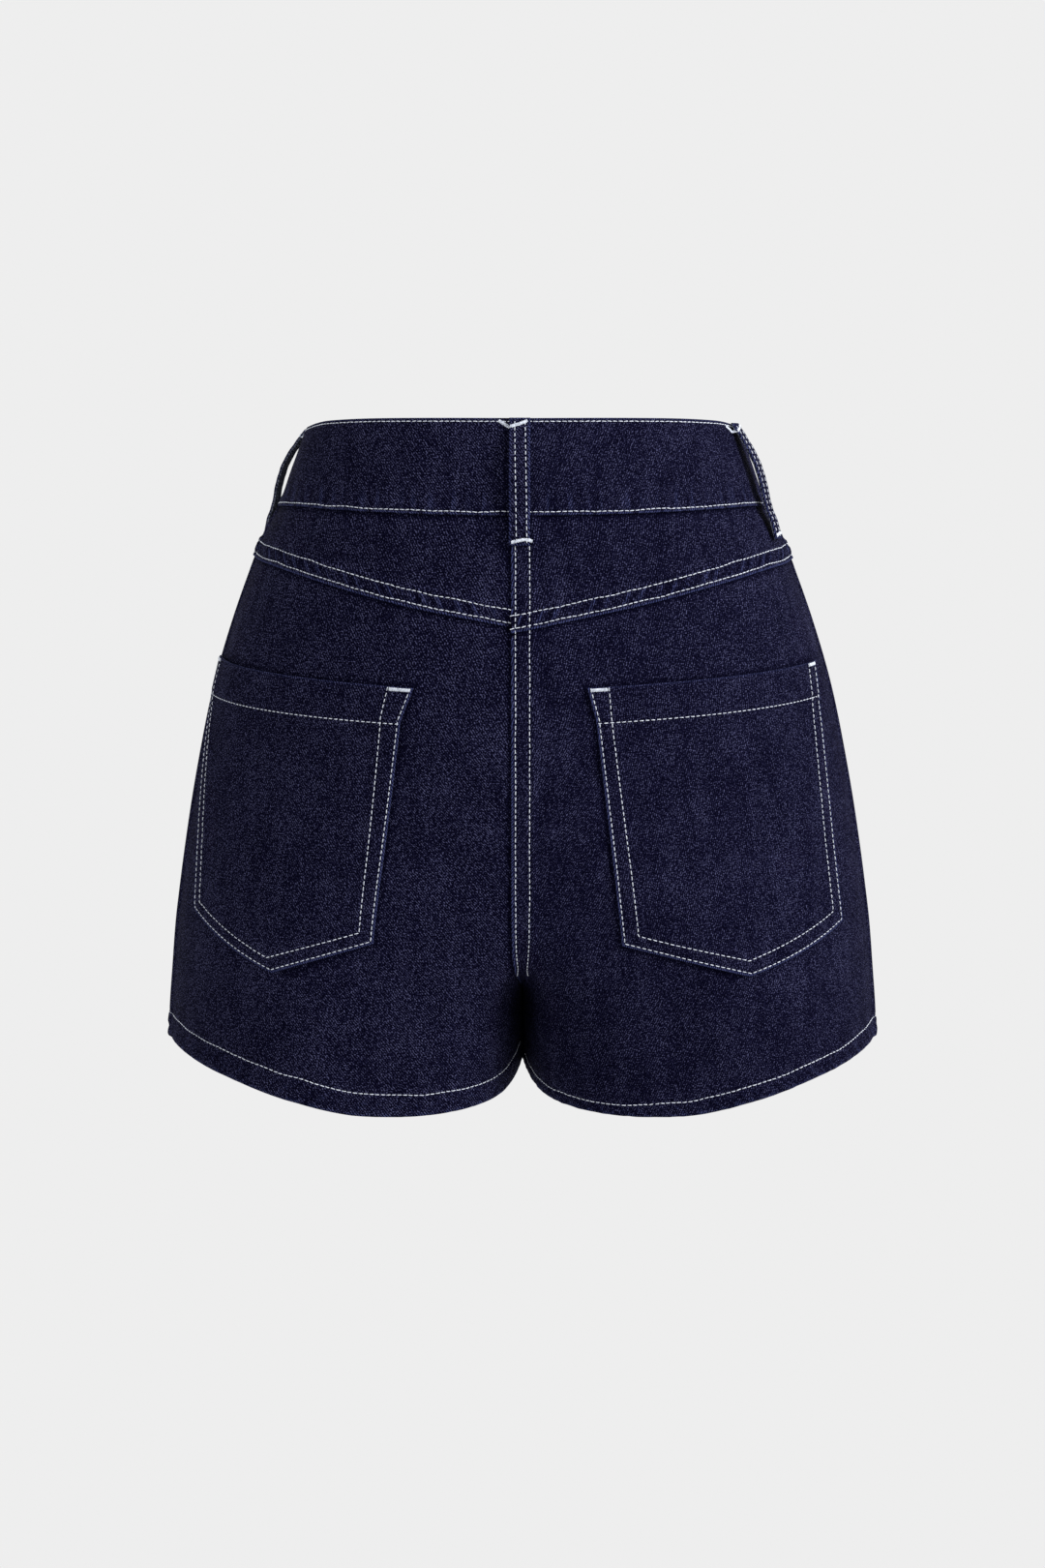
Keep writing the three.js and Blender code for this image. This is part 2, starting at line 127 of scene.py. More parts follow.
def smoothCurve(places, values):  # monotone, adds no bumps
    order = np.argsort(places)
    places = np.asarray(places, float)[order]
    values = np.asarray(values, float)[order]
    slopes = np.diff(values) / np.diff(places)
    before = np.concatenate([slopes[:1], slopes])
    after = np.concatenate([slopes, slopes[-1:]])
    product = before * after
    total = np.where(product > 0, before + after, 1)
    tangents = np.where(product > 0, 2 * product / total, 0)
    tangents[0] = slopes[0]
    tangents[-1] = slopes[-1]

    def curve(at):
        at = np.clip(at, places[0], places[-1])
        k = np.clip(np.searchsorted(places, at, side="left") - 1, 0, len(places) - 2)
        step = places[k + 1] - places[k]
        t = (at - places[k]) / step
        start = values[k] * (2 * t**3 - 3 * t**2 + 1) + tangents[k] * step * (t**3 - 2 * t**2 + t)
        return start + values[k + 1] * (3 * t**2 - 2 * t**3) + tangents[k + 1] * step * (t**3 - t**2)

    return curve


form = {name: smoothCurve(levels[:, 0], levels[:, k]) for k, name in enumerate(levelNames)}


def lineCurve(pairs):
    return smoothCurve([pair[0] for pair in pairs], [pair[1] for pair in pairs])


def mirrored(pairs):  # the same past the centre front
    curve = lineCurve(pairs)
    return lambda around: curve(np.where(around > 1, 2 - around, around))


hemEdge = lineCurve(hemLine)
yokeEdges = {hand: lineCurve(line) for hand, line in yokeLines.items()}
topEdge = mirrored(topLine)
bandFoot = mirrored(bandLine)


def smoothStep(low, high, at):
    t = np.clip((at - low) / (high - low), 0, 1)
    return t * t * (3 - 2 * t)


def mix(one, other, share):
    return one + (other - one) * share


def tubePoint(side, angle, z):
    share = form["cleft"](z)
    radius = form["half"](z) / (1 + share)
    across = np.cos(angle)
    along = np.sin(angle)
    exponent = np.where((across < 0) & (share > 0), form["inner"](z), form["outer"](z))
    reach = (np.abs(across) ** exponent + np.abs(along) ** exponent) ** (-1 / exponent)
    depth = np.where(along < 0, form["back"](z), form["front"](z))
    return np.stack([side * radius * (share + reach * across), depth * reach * along, z + 0 * angle], -1)


smallTurn = 0.01  # radians to each side, where a slope is measured
besideEnd = 0.02  # radians from the middle plane to where a millimetre is measured


def endAngle(z):  # where the tube meets the middle plane, or nearly a half turn where the leg hangs free
    radius = form["half"](z) / (1 + form["cleft"](z))
    share = form["cleft"](z) - cloth["gap"] / 2 / radius
    legEnd = math.pi - cloth["gap"] / 2 / form["back"](z)
    inner = form["inner"](z)
    power = np.clip(share, 1e-9, 1 - 1e-9) ** inner
    turned = np.minimum(quarter + np.arctan((power / (1 - power)) ** (1 / inner)), legEnd)
    return np.where(share <= 0, quarter + share, np.where(share >= 1, legEnd, turned))


def tubeNormal(side, angle, z):
    alongRing = tubePoint(side, angle + smallTurn, z) - tubePoint(side, angle - smallTurn, z)
    upwards = tubePoint(side, angle, z + 1) - tubePoint(side, angle, z - 1)
    normal = np.cross(alongRing, upwards) * np.asarray(side, float)[..., None]
    return normal / np.linalg.norm(normal, axis=-1, keepdims=True)


def clothPoint(side, angle, z, lift):
    return tubePoint(side, angle, z) + tubeNormal(side, angle, z) * np.asarray(lift, float)[..., None]


def bothFaces(side, angle, z, lift, wall, drawn):  # drawn is how far both draw in towards the wall's middle
    return clothPoint(side, angle, z, lift - drawn), clothPoint(side, angle, z, lift - wall + drawn)


def perMillimetre(angle, z):  # radians
    ring = tubePoint(1, angle + smallTurn, z) - tubePoint(1, angle - smallTurn, z)
    return 2 * smallTurn / np.linalg.norm(ring, axis=-1)


def seamEdge(z, towards):
    angle = -np.radians(form["seam"](z))
    return angle + towards * perMillimetre(angle, z) * cloth["gap"] / 2


foldColumn = 8 / 19


def columnAngle(towards, column, z):  # column 0 is the middle plane, 1 the side seam; it may run past both
    end = endAngle(z)
    fold = towards * np.radians(form["fold"](z))
    seam = seamEdge(z, towards)
    near = mix(towards * end, fold, column / foldColumn)
    far = mix(fold, seam, (column - foldColumn) / (1 - foldColumn))
    past = seam - towards * (column - 1) * cloth["nominalHalf"] * perMillimetre(seam, z)
    across = towards * (end + column * cloth["nominalHalf"] * perMillimetre(end - besideEnd, z))
    angle = np.where(column < foldColumn, near, far)
    return np.where(column < 0, across, np.where(column > 1, past, angle))


def wayRound(towards, column, z):  # 0 at the centre back and 1 at the centre front
    return (columnAngle(towards, column, z) / endAngle(z) + 1) / 2


def lineHeight(edge, towards, column):  # past the middle plane a line runs on at its own slope
    probe = 0.03
    line, near = edge["z"], edge["near"]
    around = wayRound(towards, np.clip(column, 0, 1), near)
    start = wayRound(towards, probe + 0 * column, near)
    middle = wayRound(towards, 0 * column, near)
    return line(around) + (line(middle) - line(start)) * np.maximum(-column, 0) / probe


def walked(points, axis=0):  # distance along a line of points, or along one way of a grid
    steps = np.linalg.norm(np.diff(points, axis=axis), axis=-1)
    start = np.zeros_like(np.take(steps, [0], axis=axis))
    return np.concatenate([start, np.cumsum(steps, axis=axis)], axis=axis)


def walkAcross(points):
    return walked(points, 1), walked(points, 0)


# The angle at each height, for distances along the cloth from the centre back
tableHeights = np.arange(-300.0, 31.0, 1.0)
tableStep = 0.5
tableDistances = np.arange(0.0, 460.0, tableStep)
lastCell = 1.001  # keeps a lookup inside the table


def makeAngleTable():
    rows = []
    steps = np.linspace(0, 1, 900)
    for z in tableHeights:
        end = endAngle(z)
        angles = mix(-end, end, steps)
        rows.append(np.interp(tableDistances, walked(tubePoint(1, angles, z + 0 * angles)), angles))
    return np.array(rows)


angleTable = makeAngleTable()


def angleAtDistance(distance, z):
    row = np.clip(z - tableHeights[0], 0, len(tableHeights) - lastCell)
    place = np.clip(distance / tableStep, 0, len(tableDistances) - lastCell)
    r, p = row.astype(int), place.astype(int)
    low = mix(angleTable[r, p], angleTable[r, p + 1], place - p)
    high = mix(angleTable[r + 1, p], angleTable[r + 1, p + 1], place - p)
    return mix(low, high, row - r)


waveMix = {"spacings": (0.73, 1.0, 1.37, 1.93), "heights": (0.4, 0.8), "start": 6.28, "total": 1.6}


def ripple(at, spacing, seed):  # a smooth uneven wave between about -1 and 1
    draw = np.random.default_rng(seed)
    total = 0
    for factor in waveMix["spacings"]:
        height = draw.uniform(*waveMix["heights"])
        start = draw.uniform(0, waveMix["start"])
        total = total + height * np.sin(2 * math.pi * at / (spacing * factor) + start)
    return total / waveMix["total"]


def bell(distance, width):
    return np.exp(-((distance / width) ** 2))


def groove(distance, depth=0.35, width=0.9):
    return -depth * bell(distance, width)


def edgeRound(distance, radius, most):  # how far a face draws in beside an edge
    t = 1 - np.clip(distance / radius, 0, 1)
    return np.minimum(radius * (1 - np.sqrt(np.maximum(1 - t * t, 0))), most)


def spread(*parts):  # places from (start, end, step) runs
    places = []
    for start, end, step in parts:
        count = max(int(round(abs(end - start) / step)), 1)
        places.extend(np.linspace(start, end, count + 1)[:-1])
    places.append(parts[-1][1])
    return np.array(places)


edgeRun = np.array([0, 0.08, 0.25, 0.5, 0.8, 1.2])  # distances of a mesh's columns or rows from its edge


def shares(length, parts, last=edgeRun, first=edgeRun):  # of a length, finer at both ends
    return np.concatenate([first[:-1], spread(*parts)[:-1], length - last[::-1]]) / length


def makeShell(name, hand, faces, flat, wearAndShade, uvTurn=0.0):  # flat is the distances across and down the cloth
    outer, inner = faces
    rows, columns = outer.shape[:2]
    count = rows * columns
    points = np.concatenate([outer.reshape(-1, 3), inner.reshape(-1, 3)]) * mm
    index = np.arange(count).reshape(rows, columns)
    a, b, c, d = index[:-1, :-1], index[1:, :-1], index[1:, 1:], index[:-1, 1:]
    outerQuads = np.stack([a, b, c, d], -1).reshape(-1, 4)
    innerQuads = np.stack([a, d, c, b], -1).reshape(-1, 4) + count

    def rim(line):
        return np.stack([line[:-1], line[:-1] + count, line[1:] + count, line[1:]], -1)

    rims = [rim(index[:, 0]), rim(index[::-1, -1]), rim(index[-1, :]), rim(index[0, ::-1])]
    quads = np.concatenate([outerQuads, innerQuads, *rims])
    row, column = rows // 2, columns // 2
    one = outer[row, column + 1] - outer[row, column]
    two = outer[row + 1, column] - outer[row, column]
    if np.dot(np.cross(two, one), outer[row, column] - inner[row, column]) < 0:
        quads = quads[:, ::-1]
    mesh = bpy.data.meshes.new(name + "_cloth")
    mesh.vertices.add(len(points))
    mesh.vertices.foreach_set("co", points.astype(np.float32).ravel())
    mesh.loops.add(quads.size)
    mesh.loops.foreach_set("vertex_index", quads.astype(np.int32).ravel())
    mesh.polygons.add(len(quads))
    mesh.polygons.foreach_set("loop_start", np.arange(0, quads.size, 4, dtype=np.int32))
    mesh.update(calc_edges=True)
    mesh.polygons.foreach_set("use_smooth", np.ones(len(quads), bool))
    inside = np.zeros(len(quads), np.int32)
    inside[len(outerQuads):len(outerQuads) + len(innerQuads)] = 1
    mesh.polygons.foreach_set("material_index", inside)
    across, down = flat
    turn = math.radians(uvTurn)
    u = across * math.cos(turn) + down * math.sin(turn)
    v = across * math.sin(turn) - down * math.cos(turn)
    places = np.tile(np.stack([u.ravel(), v.ravel()], -1) * mm, (2, 1))
    layer = mesh.uv_layers.new(name="cloth")
    layer.data.foreach_set("uv", places[quads.ravel()].astype(np.float32).ravel())
    # The wear attribute holds wear where it is positive and painted shade where it is negative
    attribute = mesh.attributes.new("wear", "FLOAT", "POINT")
    attribute.data.foreach_set("value", np.concatenate([wearAndShade.ravel(), np.zeros(count)]).astype(np.float32))
    mesh.materials.append(outside[hand])
    mesh.materials.append(denimInside)
    mesh.validate()
    return addObject(name + "_cloth", mesh)


# Shader maths as Python expressions
def joined(operation, swapped=False):
    def join(self, other):
        one, two = (other, self) if swapped else (self, other)
        return self.finish.node("ShaderNodeMath", {"operation": operation}, {0: one, 1: two})

    return join


class Wire:
    __add__ = joined("ADD")
    __radd__ = joined("ADD", True)
    __sub__ = joined("SUBTRACT")
    __rsub__ = joined("SUBTRACT", True)
    __mul__ = joined("MULTIPLY")
    __rmul__ = joined("MULTIPLY", True)
    __truediv__ = joined("DIVIDE")
    __rtruediv__ = joined("DIVIDE", True)

    def __init__(self, finish, socket):
        self.finish = finish
        self.socket = socket

    def output(self, place):
        return Wire(self.finish, self.socket.node.outputs[place])


class Finish:
    def __init__(self, name):
        self.material = bpy.data.materials.new(name)
        self.material.use_nodes = True
        self.tree = self.material.node_tree
        self.tree.nodes.clear()

    def node(self, kind, settings=None, values=None, output=0):
        made = self.tree.nodes.new(kind)
        for key, value in (settings or {}).items():
            if key == "stops":
                ramp = made.color_ramp
                while len(ramp.elements) < len(value):
                    ramp.elements.new(0.5)
                for element, (place, colour) in zip(ramp.elements, value):
                    element.position = place
                    element.color = (*colour, 1)
            else:
                setattr(made, key, value)
        for key, value in (values or {}).items():
            if isinstance(value, Wire):
                self.tree.links.new(value.socket, made.inputs[key])
            else:
                made.inputs[key].default_value = value
        return Wire(self, made.outputs[output])

    def noise(self, places, scale, detail):
        return self.node("ShaderNodeTexNoise", None, {"Vector": places, "Scale": scale, "Detail": detail})

    def uneven(self, places, scale, detail):  # noise about zero
        return self.noise(places, scale, detail) - 0.5

    def stretched(self, x, y, scales, detail):
        places = self.node("ShaderNodeCombineXYZ", None, {0: x * scales[0], 1: y * scales[1]})
        return self.uneven(places, 1.0, detail)

    def ramp(self, stops, value):
        return self.node("ShaderNodeValToRGB", {"stops": stops}, {0: value})

    def bump(self, strength, distance, height):
        values = {"Strength": strength, "Distance": distance, "Height": height}
        return self.node("ShaderNodeBump", None, values)

    def show(self, shader, values):
        end = self.tree.nodes.new("ShaderNodeOutputMaterial")
        self.tree.links.new(self.node(shader, None, values).socket, end.inputs["Surface"])
        return self.material


print("form ready")

# Denim: the parts of its pattern by strength, then their scales, then wear and painted shade, and relief
weave = {
    "lines": 0.24, "grains": 1.4, "dashes": 0.6, "yarns": 0.3, "patches": 0.12, "clouds": 0.16,
    "streaks": 0.14, "wobbleScale": 0.35, "patchScale": 0.2, "cloudScale": 0.04, "dashScales": (0.6, 1.6),
    "yarnScales": (1.3, 0.2), "streakScales": (0.13, 0.018), "wearShadeTone": 0.06, "rub": 2.2, "rubBase": 0.6,
    "wornBlue": (0.050, 0.062, 0.170, 1), "lineRelief": 0.8, "bump": 0.4, "bumpHeight": 0.0002,
    "roughness": 0.8, "shine": 0.01,
}
twills = {
    "left": {"lean": 54, "pitch": 1.15, "wander": 0.8, "grain": 1.35, "contrast": 1.05},
    "right": {"lean": 66, "pitch": 1.1, "wander": 0.9, "grain": 1.45, "contrast": 0.92},
    "inside": {"lean": -54, "pitch": 1.15, "wander": 1.0, "grain": 1.7, "contrast": 1.0},
}
outerTones = [
    (0.28, (0.0008, 0.0007, 0.0043)),
    (0.43, (0.0015, 0.0014, 0.0072)),
    (0.50, (0.0023, 0.0021, 0.0102)),
    (0.57, (0.0038, 0.0036, 0.0148)),
    (0.665, (0.0110, 0.0108, 0.0320)),
    (0.80, (0.0600, 0.0620, 0.1250)),
]
innerTones = [
    (0.30, (0.020, 0.023, 0.042)),
    (0.45, (0.060, 0.068, 0.105)),
    (0.58, (0.120, 0.135, 0.185)),
    (0.76, (0.300, 0.320, 0.380)),
]


def makeDenim(name, twill, tones):
    finish = Finish(name)
    flat = finish.node("ShaderNodeUVMap", {"uv_map": "cloth"})
    places = finish.node("ShaderNodeVectorMath", {"operation": "SCALE"}, {0: flat, "Scale": 1 / mm})
    x = finish.node("ShaderNodeSeparateXYZ", None, {0: places})
    y = x.output(1)
    lean = math.radians(twill["lean"])
    along = x * math.cos(lean) + y * math.sin(lean)
    away = y * math.cos(lean) - x * math.sin(lean)
    phase = away / twill["pitch"] + finish.noise(places, weave["wobbleScale"], 2) * twill["wander"]
    lines = finish.node("ShaderNodeMath", {"operation": "SINE"}, {0: phase * (2 * math.pi)}) * 0.5
    grains = finish.uneven(places, twill["grain"], 1)
    dashes = finish.stretched(along, away, weave["dashScales"], 1)
    yarns = finish.stretched(x, y, weave["yarnScales"], 1)
    patches = finish.uneven(places, weave["patchScale"], 2)
    clouds = finish.uneven(places, weave["cloudScale"], 2)
    streaks = finish.stretched(x, y, weave["streakScales"], 2)
    fine = lines * weave["lines"] + grains * weave["grains"] + dashes * weave["dashes"] + yarns * weave["yarns"]
    broad = patches * weave["patches"] + clouds * weave["clouds"] + streaks * weave["streaks"]
    # Wear lightens the tone and turns it blue; painted shade, the negative part, darkens the tone
    wearAndShade = finish.node("ShaderNodeAttribute", {"attribute_name": "wear"}, None, 2)
    dyed = finish.ramp(tones, fine * twill["contrast"] + broad + wearAndShade * weave["wearShadeTone"] + 0.5)
    bare = finish.node("ShaderNodeMath", {"operation": "MAXIMUM"}, {0: wearAndShade, 1: 0.0})
    rubbed = bare * (lines * weave["rub"] + grains * weave["rub"] + weave["rubBase"])
    colour = finish.node("ShaderNodeMix", {"data_type": "RGBA"}, {0: rubbed, 6: dyed, 7: weave["wornBlue"]}, 2)
    bump = finish.bump(weave["bump"], weave["bumpHeight"], lines * weave["lineRelief"] + dashes + grains)
    values = {"Base Color": colour, "Normal": bump, "Roughness": weave["roughness"]}
    return finish.show("ShaderNodeBsdfPrincipled", {**values, "Specular IOR Level": weave["shine"]})


outside = {
    "left": makeDenim("indigoTwillLeft", twills["left"], outerTones),
    "right": makeDenim("indigoTwillRight", twills["right"], outerTones),
}
denimInside = makeDenim("indigoTwillInside", twills["inside"], innerTones)

threadLook = {
    "scale": 900, "tones": [(0.3, (0.36, 0.39, 0.46)), (0.7, (0.72, 0.76, 0.84))], "roughness": 0.6,
    "shine": 0.3,
}


def makeThread():
    finish = Finish("paleThread")
    places = finish.node("ShaderNodeTexCoord", None, None, 3)
    colour = finish.ramp(threadLook["tones"], finish.noise(places, threadLook["scale"], 2))
    values = {"Base Color": colour, "Roughness": threadLook["roughness"], "Specular IOR Level": threadLook["shine"]}
    return finish.show("ShaderNodeBsdfPrincipled", values)


thread = makeThread()
print("cloth and thread materials ready")

# Steps of the panels' meshes, with the widths of their finer bands, in millimetres
grid = {
    "topBand": 14, "top": 0.8, "body": 2.1, "leg": 1.6, "hemBand": 17, "hem": 0.9,
    "middle": 0.9, "lap": 0.75, "across": 2.0, "sideBand": 10, "sideLap": 0.8, "side": 1.2,
}


def bodyRows(towards, topHeight, footHeight):  # shares of the way down
    heights = np.linspace(topHeight, crotchHeight, 600)
    distances = walked(tubePoint(1, towards * endAngle(heights), heights))
    wanted = spread((0, grid["topBand"], grid["top"]), (grid["topBand"], distances[-1], grid["body"]))
    body = np.interp(wanted, distances, heights)
    hemTop = footHeight + grid["hemBand"]
    leg = spread((crotchHeight, hemTop, grid["leg"]), (hemTop, footHeight + edgeRun[-1], grid["hem"]))[1:]
    foot = footHeight + edgeRun[::-1][1:]
    return (topHeight - np.concatenate([body, leg, foot])) / (topHeight - footHeight)


def columnPlaces(lapAcross, lapSide):  # distances from the middle plane, negative where a lap crosses it
    far = cloth["nominalHalf"]
    blend = cloth["lapBlend"]
    finer = far - grid["sideBand"]
    first = edgeRun[:-1] - lapAcross if lapAcross else []
    start = (edgeRun[-1] - lapAcross, blend, grid["lap"]) if lapAcross else (0, blend, grid["middle"])
    near = spread(start, (blend, finer, grid["across"]))[:-1]
    if lapSide:
        end = far + lapSide
        rest = [*spread((finer, end - edgeRun[-1], grid["sideLap"])), *(end - edgeRun[::-1][1:])]
    else:
        rest = spread((finer, far, grid["side"]))
    return np.concatenate([first, near, rest])


# The crotch: the thighs step sideways together, so no light passes, and the seam sinks in behind
crotch = {
    "jog": 0.9, "jogHeights": (-248, -266), "jogWidth": 14, "jogDepth": 7, "depth": 10.0, "width": 7.5,
    "sinkHeights": (-256, -272), "sinkBack": (-10, -45), "lapEnd": 3, "lapFade": 22, "seamFade": (4, 26),
}


def lapFade(z):  # a lap narrows towards the crotch
    return np.clip((z - crotchHeight - crotch["lapEnd"]) / crotch["lapFade"], 0, 1)


def settleCrotch(points):
    x, y, z = points[..., 0], points[..., 1], points[..., 2]
    near = bell(x, crotch["jogWidth"]) * bell(np.minimum(y, 0), crotch["jogDepth"])
    aside = crotch["jog"] * smoothStep(*crotch["jogHeights"], z) * near
    sunk = smoothStep(*crotch["sinkHeights"], z) * smoothStep(*crotch["sinkBack"], y)
    inwards = crotch["depth"] * sunk * bell(x, crotch["width"])
    return points + np.stack([aside, inwards, 0 * z], -1)


def halfPiece(side, towards, places, top, foot, rows, lap):
    column = places[None, :] / cloth["nominalHalf"] + 0 * rows[:, None]
    z = mix(lineHeight(top, towards, column), lineHeight(foot, towards, column), rows[:, None])
    lap = lap / cloth["nominalHalf"]
    near = cloth["lapBlend"] / cloth["nominalHalf"]
    narrowed = mix(-lap * lapFade(z), near, (column + lap) / (near + lap))
    column = np.where(column < near, narrowed, column)
    sides = np.where(column < 0, -side, side)
    angle = columnAngle(towards, column, z)
    base = tubePoint(sides, angle, z)
    across, down = walkAcross(base)
    middle = np.array([np.interp(0.0, spots, distances) for spots, distances in zip(column, across)])
    s = across - middle[:, None]
    return (sides, angle, z), base, s, down, s[:, -1:] - s, down[-1:, :] - down


grainColumn = 110  # where the cloth's grain hangs straight down, from the middle plane


def grainMap(points, places):
    across = walked(points[..., :2], 1)
    start = int(np.argmin(np.abs(places - grainColumn)))
    return across - across[:, start:start + 1], -points[..., 2]


seamCalm = (4, 26)
folds = {"wide": (62, 78), "wideSlants": (0.35, 0.3), "slanted": 33, "slant": 0.8, "slantedShare": 0.35}


def calm(*distances):  # keeps the broad folds away from seams, where two pieces meet
    share = 1
    for distance in distances:
        share = share * smoothStep(*seamCalm, distance)
    return share


def broadFolds(x, z, seed):
    one, two = folds["wideSlants"]
    wide = ripple(x + one * z, folds["wide"][0], seed) * ripple(z - two * x, folds["wide"][1], seed + 1)
    return wide + ripple(x - folds["slant"] * z, folds["slanted"], seed + 2) * folds["slantedShare"]


# Wear and painted shade: wear is (amount, place, width) and painted shade is (place, width), from an edge
# Depth of the painted shade beside raised edges
paintedShadeDepth = 2.2
# Tones of the pale ridges of wear and of the painted shade in hollows
ridgeWearHollowShadeTones = (0.4, 2.6)


def wornEdge(distance, wear):
    amount, place, width = wear
    return amount * bell(distance - place, width)


def paintedShadeLine(distance, shade):  # painted shadow beside a raised edge
    place, width = shade
    return -paintedShadeDepth * bell(distance - place, width)


def ridgeWearHollowShade(waves):  # pale ridges of wear, and painted shade in the hollows between them
    return waves * np.where(waves > 0, *ridgeWearHollowShadeTones)


# Patch pockets: corners by distance along the cloth from the centre back and by height
pockets = {
    "left": {
        "innerTop": (54.5, -111), "innerBend": (61.4, -128.2), "innerFoot": (76, -241),
        "tip": (134, -259.5), "outerFoot": (197.5, -237.2), "outerBend": (207.5, -123.7),
        "outerTop": (206, -104.5),
    },
    "right": {
        "innerTop": (32, -110.5), "innerBend": (36.6, -127.2), "innerFoot": (50.8, -242.2),
        "tip": (121, -260), "outerFoot": (186.2, -241.5), "outerBend": (178.8, -121.9),
        "outerTop": (179, -104.5),
    },
}
pocketPiece = {
    "stand": 0.35, "allowance": 0.45, "allowanceEnds": (9.5, 12.5), "gape": 1.2, "gapeDepth": 40,
    "hemRise": 0.5, "hemEnds": (0.8, 2.8), "folds": 0.5, "sideCalm": (12, 30), "topCalm": (10, 35),
    "pucker": 0.18, "puckerPitch": 9, "puckerPlace": 6.4, "puckerWidth": 3.4, "sideShare": 0.42,
    "turned": 0.4, "edge": 0.8, "sideWear": (0.45, 0.5, 0.55), "topWear": (0.2, 0.0, 0.7),
    "uvStart": (300, 90), "uvTurn": {"left": 4, "right": -3}, "outerLine": 1.6, "bend": 0.14, "wide": 148.0,
    "step": 1.9, "lineEnd": 2.0, "lineTop": 1.4, "hemLine": 1.0, "tacks": {"left": (13.6, 10.0),
    "right": (11.0, 10.0)},
    "insets": {  # of the inner line at the start and end of each side, from the inner top corner round
        "left": [(11.6, 10.6), (10.6, 7.6), (7.4, 7.4), (6.8, 6.8), (7.6, 7.6), (7.6, 7.6)],
        "right": [(9.6, 7.9), (7.7, 9.0), (7.2, 7.2), (8.8, 8.8), (9.2, 9.2), (9.2, 9.2)],
    },
}
sideRun = [1.7, 2.3, 3.2, 4.4, 5.8, 7.2, 8.6, 9.8, 10.8, 11.6, 12.4, 13.4, 15]
sideRun = np.concatenate([edgeRun, sideRun])
topRun = np.concatenate([edgeRun, [2, 3, 5, 8, 11, 14, 17, 18.5, 19.5, 20.3, 21.2]])


def pocketCorners(hand):  # from the inner top corner round to the outer one
    return np.array(list(pockets[hand].values()), float)


def segmentDistance(points, start, end):
    along = end - start
    t = np.clip(((points - start) @ along) / (along @ along), 0, 1)
    return np.linalg.norm(points - start - t[..., None] * along, axis=-1)


def chainDistance(points, chain):
    return np.min([segmentDistance(points, one, two) for one, two in zip(chain[:-1], chain[1:])], axis=0)


def pocketDistances(hand, flat):  # from the sewn sides and from the open top
    corners = pocketCorners(hand)
    return chainDistance(flat, corners), segmentDistance(flat, corners[0], corners[-1])


def insetLine(corners, insets):  # an open chain of corners, each side drawn in by its own insets at its ends
    nearlyStraight = 0.3
    along = np.diff(corners, axis=0)
    along = along / np.linalg.norm(along, axis=1, keepdims=True)
    inward = np.stack([-along[:, 1], along[:, 0]], -1)
    starts = corners[:-1] + inward * np.array(insets)[:, :1]
    ends = corners[1:] + inward * np.array(insets)[:, 1:]
    moved = [starts[0]]
    for k in range(1, len(starts)):
        one, two = ends[k - 1] - starts[k - 1], ends[k] - starts[k]
        gap = starts[k] - starts[k - 1]
        turn = one[0] * two[1] - one[1] * two[0]
        if abs(turn) < nearlyStraight * np.linalg.norm(one) * np.linalg.norm(two):
            moved.append((ends[k - 1] + starts[k]) / 2)
        else:
            moved.append(starts[k - 1] + one * (gap[0] * two[1] - gap[1] * two[0]) / turn)
    return np.array(moved + [ends[-1]])


def pocketLine(hand, insets, ends):  # a line of stitches that ends on the pocket's top edge
    corners = pocketCorners(hand)
    line = insetLine(corners, insets)
    top = corners[-1] - corners[0]
    top = top / np.linalg.norm(top)
    below = np.array([0, -pocketPiece["lineTop"]])
    line[0] = corners[0] + top * ends[0] + below
    line[-1] = corners[-1] - top * ends[1] + below
    return line


def pocketLines(hand):
    outerInsets = [(pocketPiece["outerLine"],) * 2] * len(pocketPiece["insets"][hand])
    outer = pocketLine(hand, outerInsets, (pocketPiece["lineEnd"],) * 2)
    return outer, pocketLine(hand, pocketPiece["insets"][hand], pocketPiece["tacks"][hand])


underBand = {"z": lambda around: bandFoot(around) + 2.2, "near": -25.0}
legHem = {"z": hemEdge, "near": -334.5}
yokeFeet = {hand: {"z": yokeEdges[hand], "near": yokeLines[hand][0][1]} for hand in hands}
backPiece = {
    "lapAcross": 5.6, "lapSide": 1.6, "underYoke": 2.4, "folds": 0.55, "pucker": 0.22,
    "middleShade": (6.2, 1.3), "yokeShade": (0.3, 1.3), "pocketShade": (0.0, 1.3),
}
frontPiece = {"lapAcross": 4.0, "lapSide": 0, "folds": 0.6, "pucker": 0.2, "sideShade": (0.4, 1.1)}
yokePiece = {
    "lapAcross": 5.6, "lapSide": 1.6, "tall": 52, "rows": ((0, 0.72, 0.035), (0.72, 0.975, 0.013)),
    "folds": 0.3, "footLap": (9.8, 12.5), "pucker": 0.4, "puckerPitch": 4.6, "puckerSlant": 0.5,
    "puckerPlace": 5.8, "puckerWidth": 3.0, "wear": (0.45, 0.5, 0.6), "topShade": (2.6, 1.6),
    "middleShade": (6.4, 1.4),
}
seamPuckers = {"pitch": 9, "slant": 0.4, "place": 10, "width": 5}
topPuckers = {"share": 1.3, "pitch": 11, "slant": 0.5, "width": 11, "start": (2, 5)}
centreLines = (-3.4, 3.4)
yokeLineHeights = (2.2, 8.5)
hemTurn = {
    "wall": 2.4, "edge": 1.2, "rise": 0.45, "riseHalf": 2, "rope": 0.4, "ropePitch": 8.5, "ropeSlant": 0.9,
    "ropeWidth": 5, "groove": (0.4, 1.0), "wear": (0.35, 0.8, 1.4), "wearPitch": 9, "ridgeWearHollowShade": 0.6,
    "barPitch": 5.2,
}
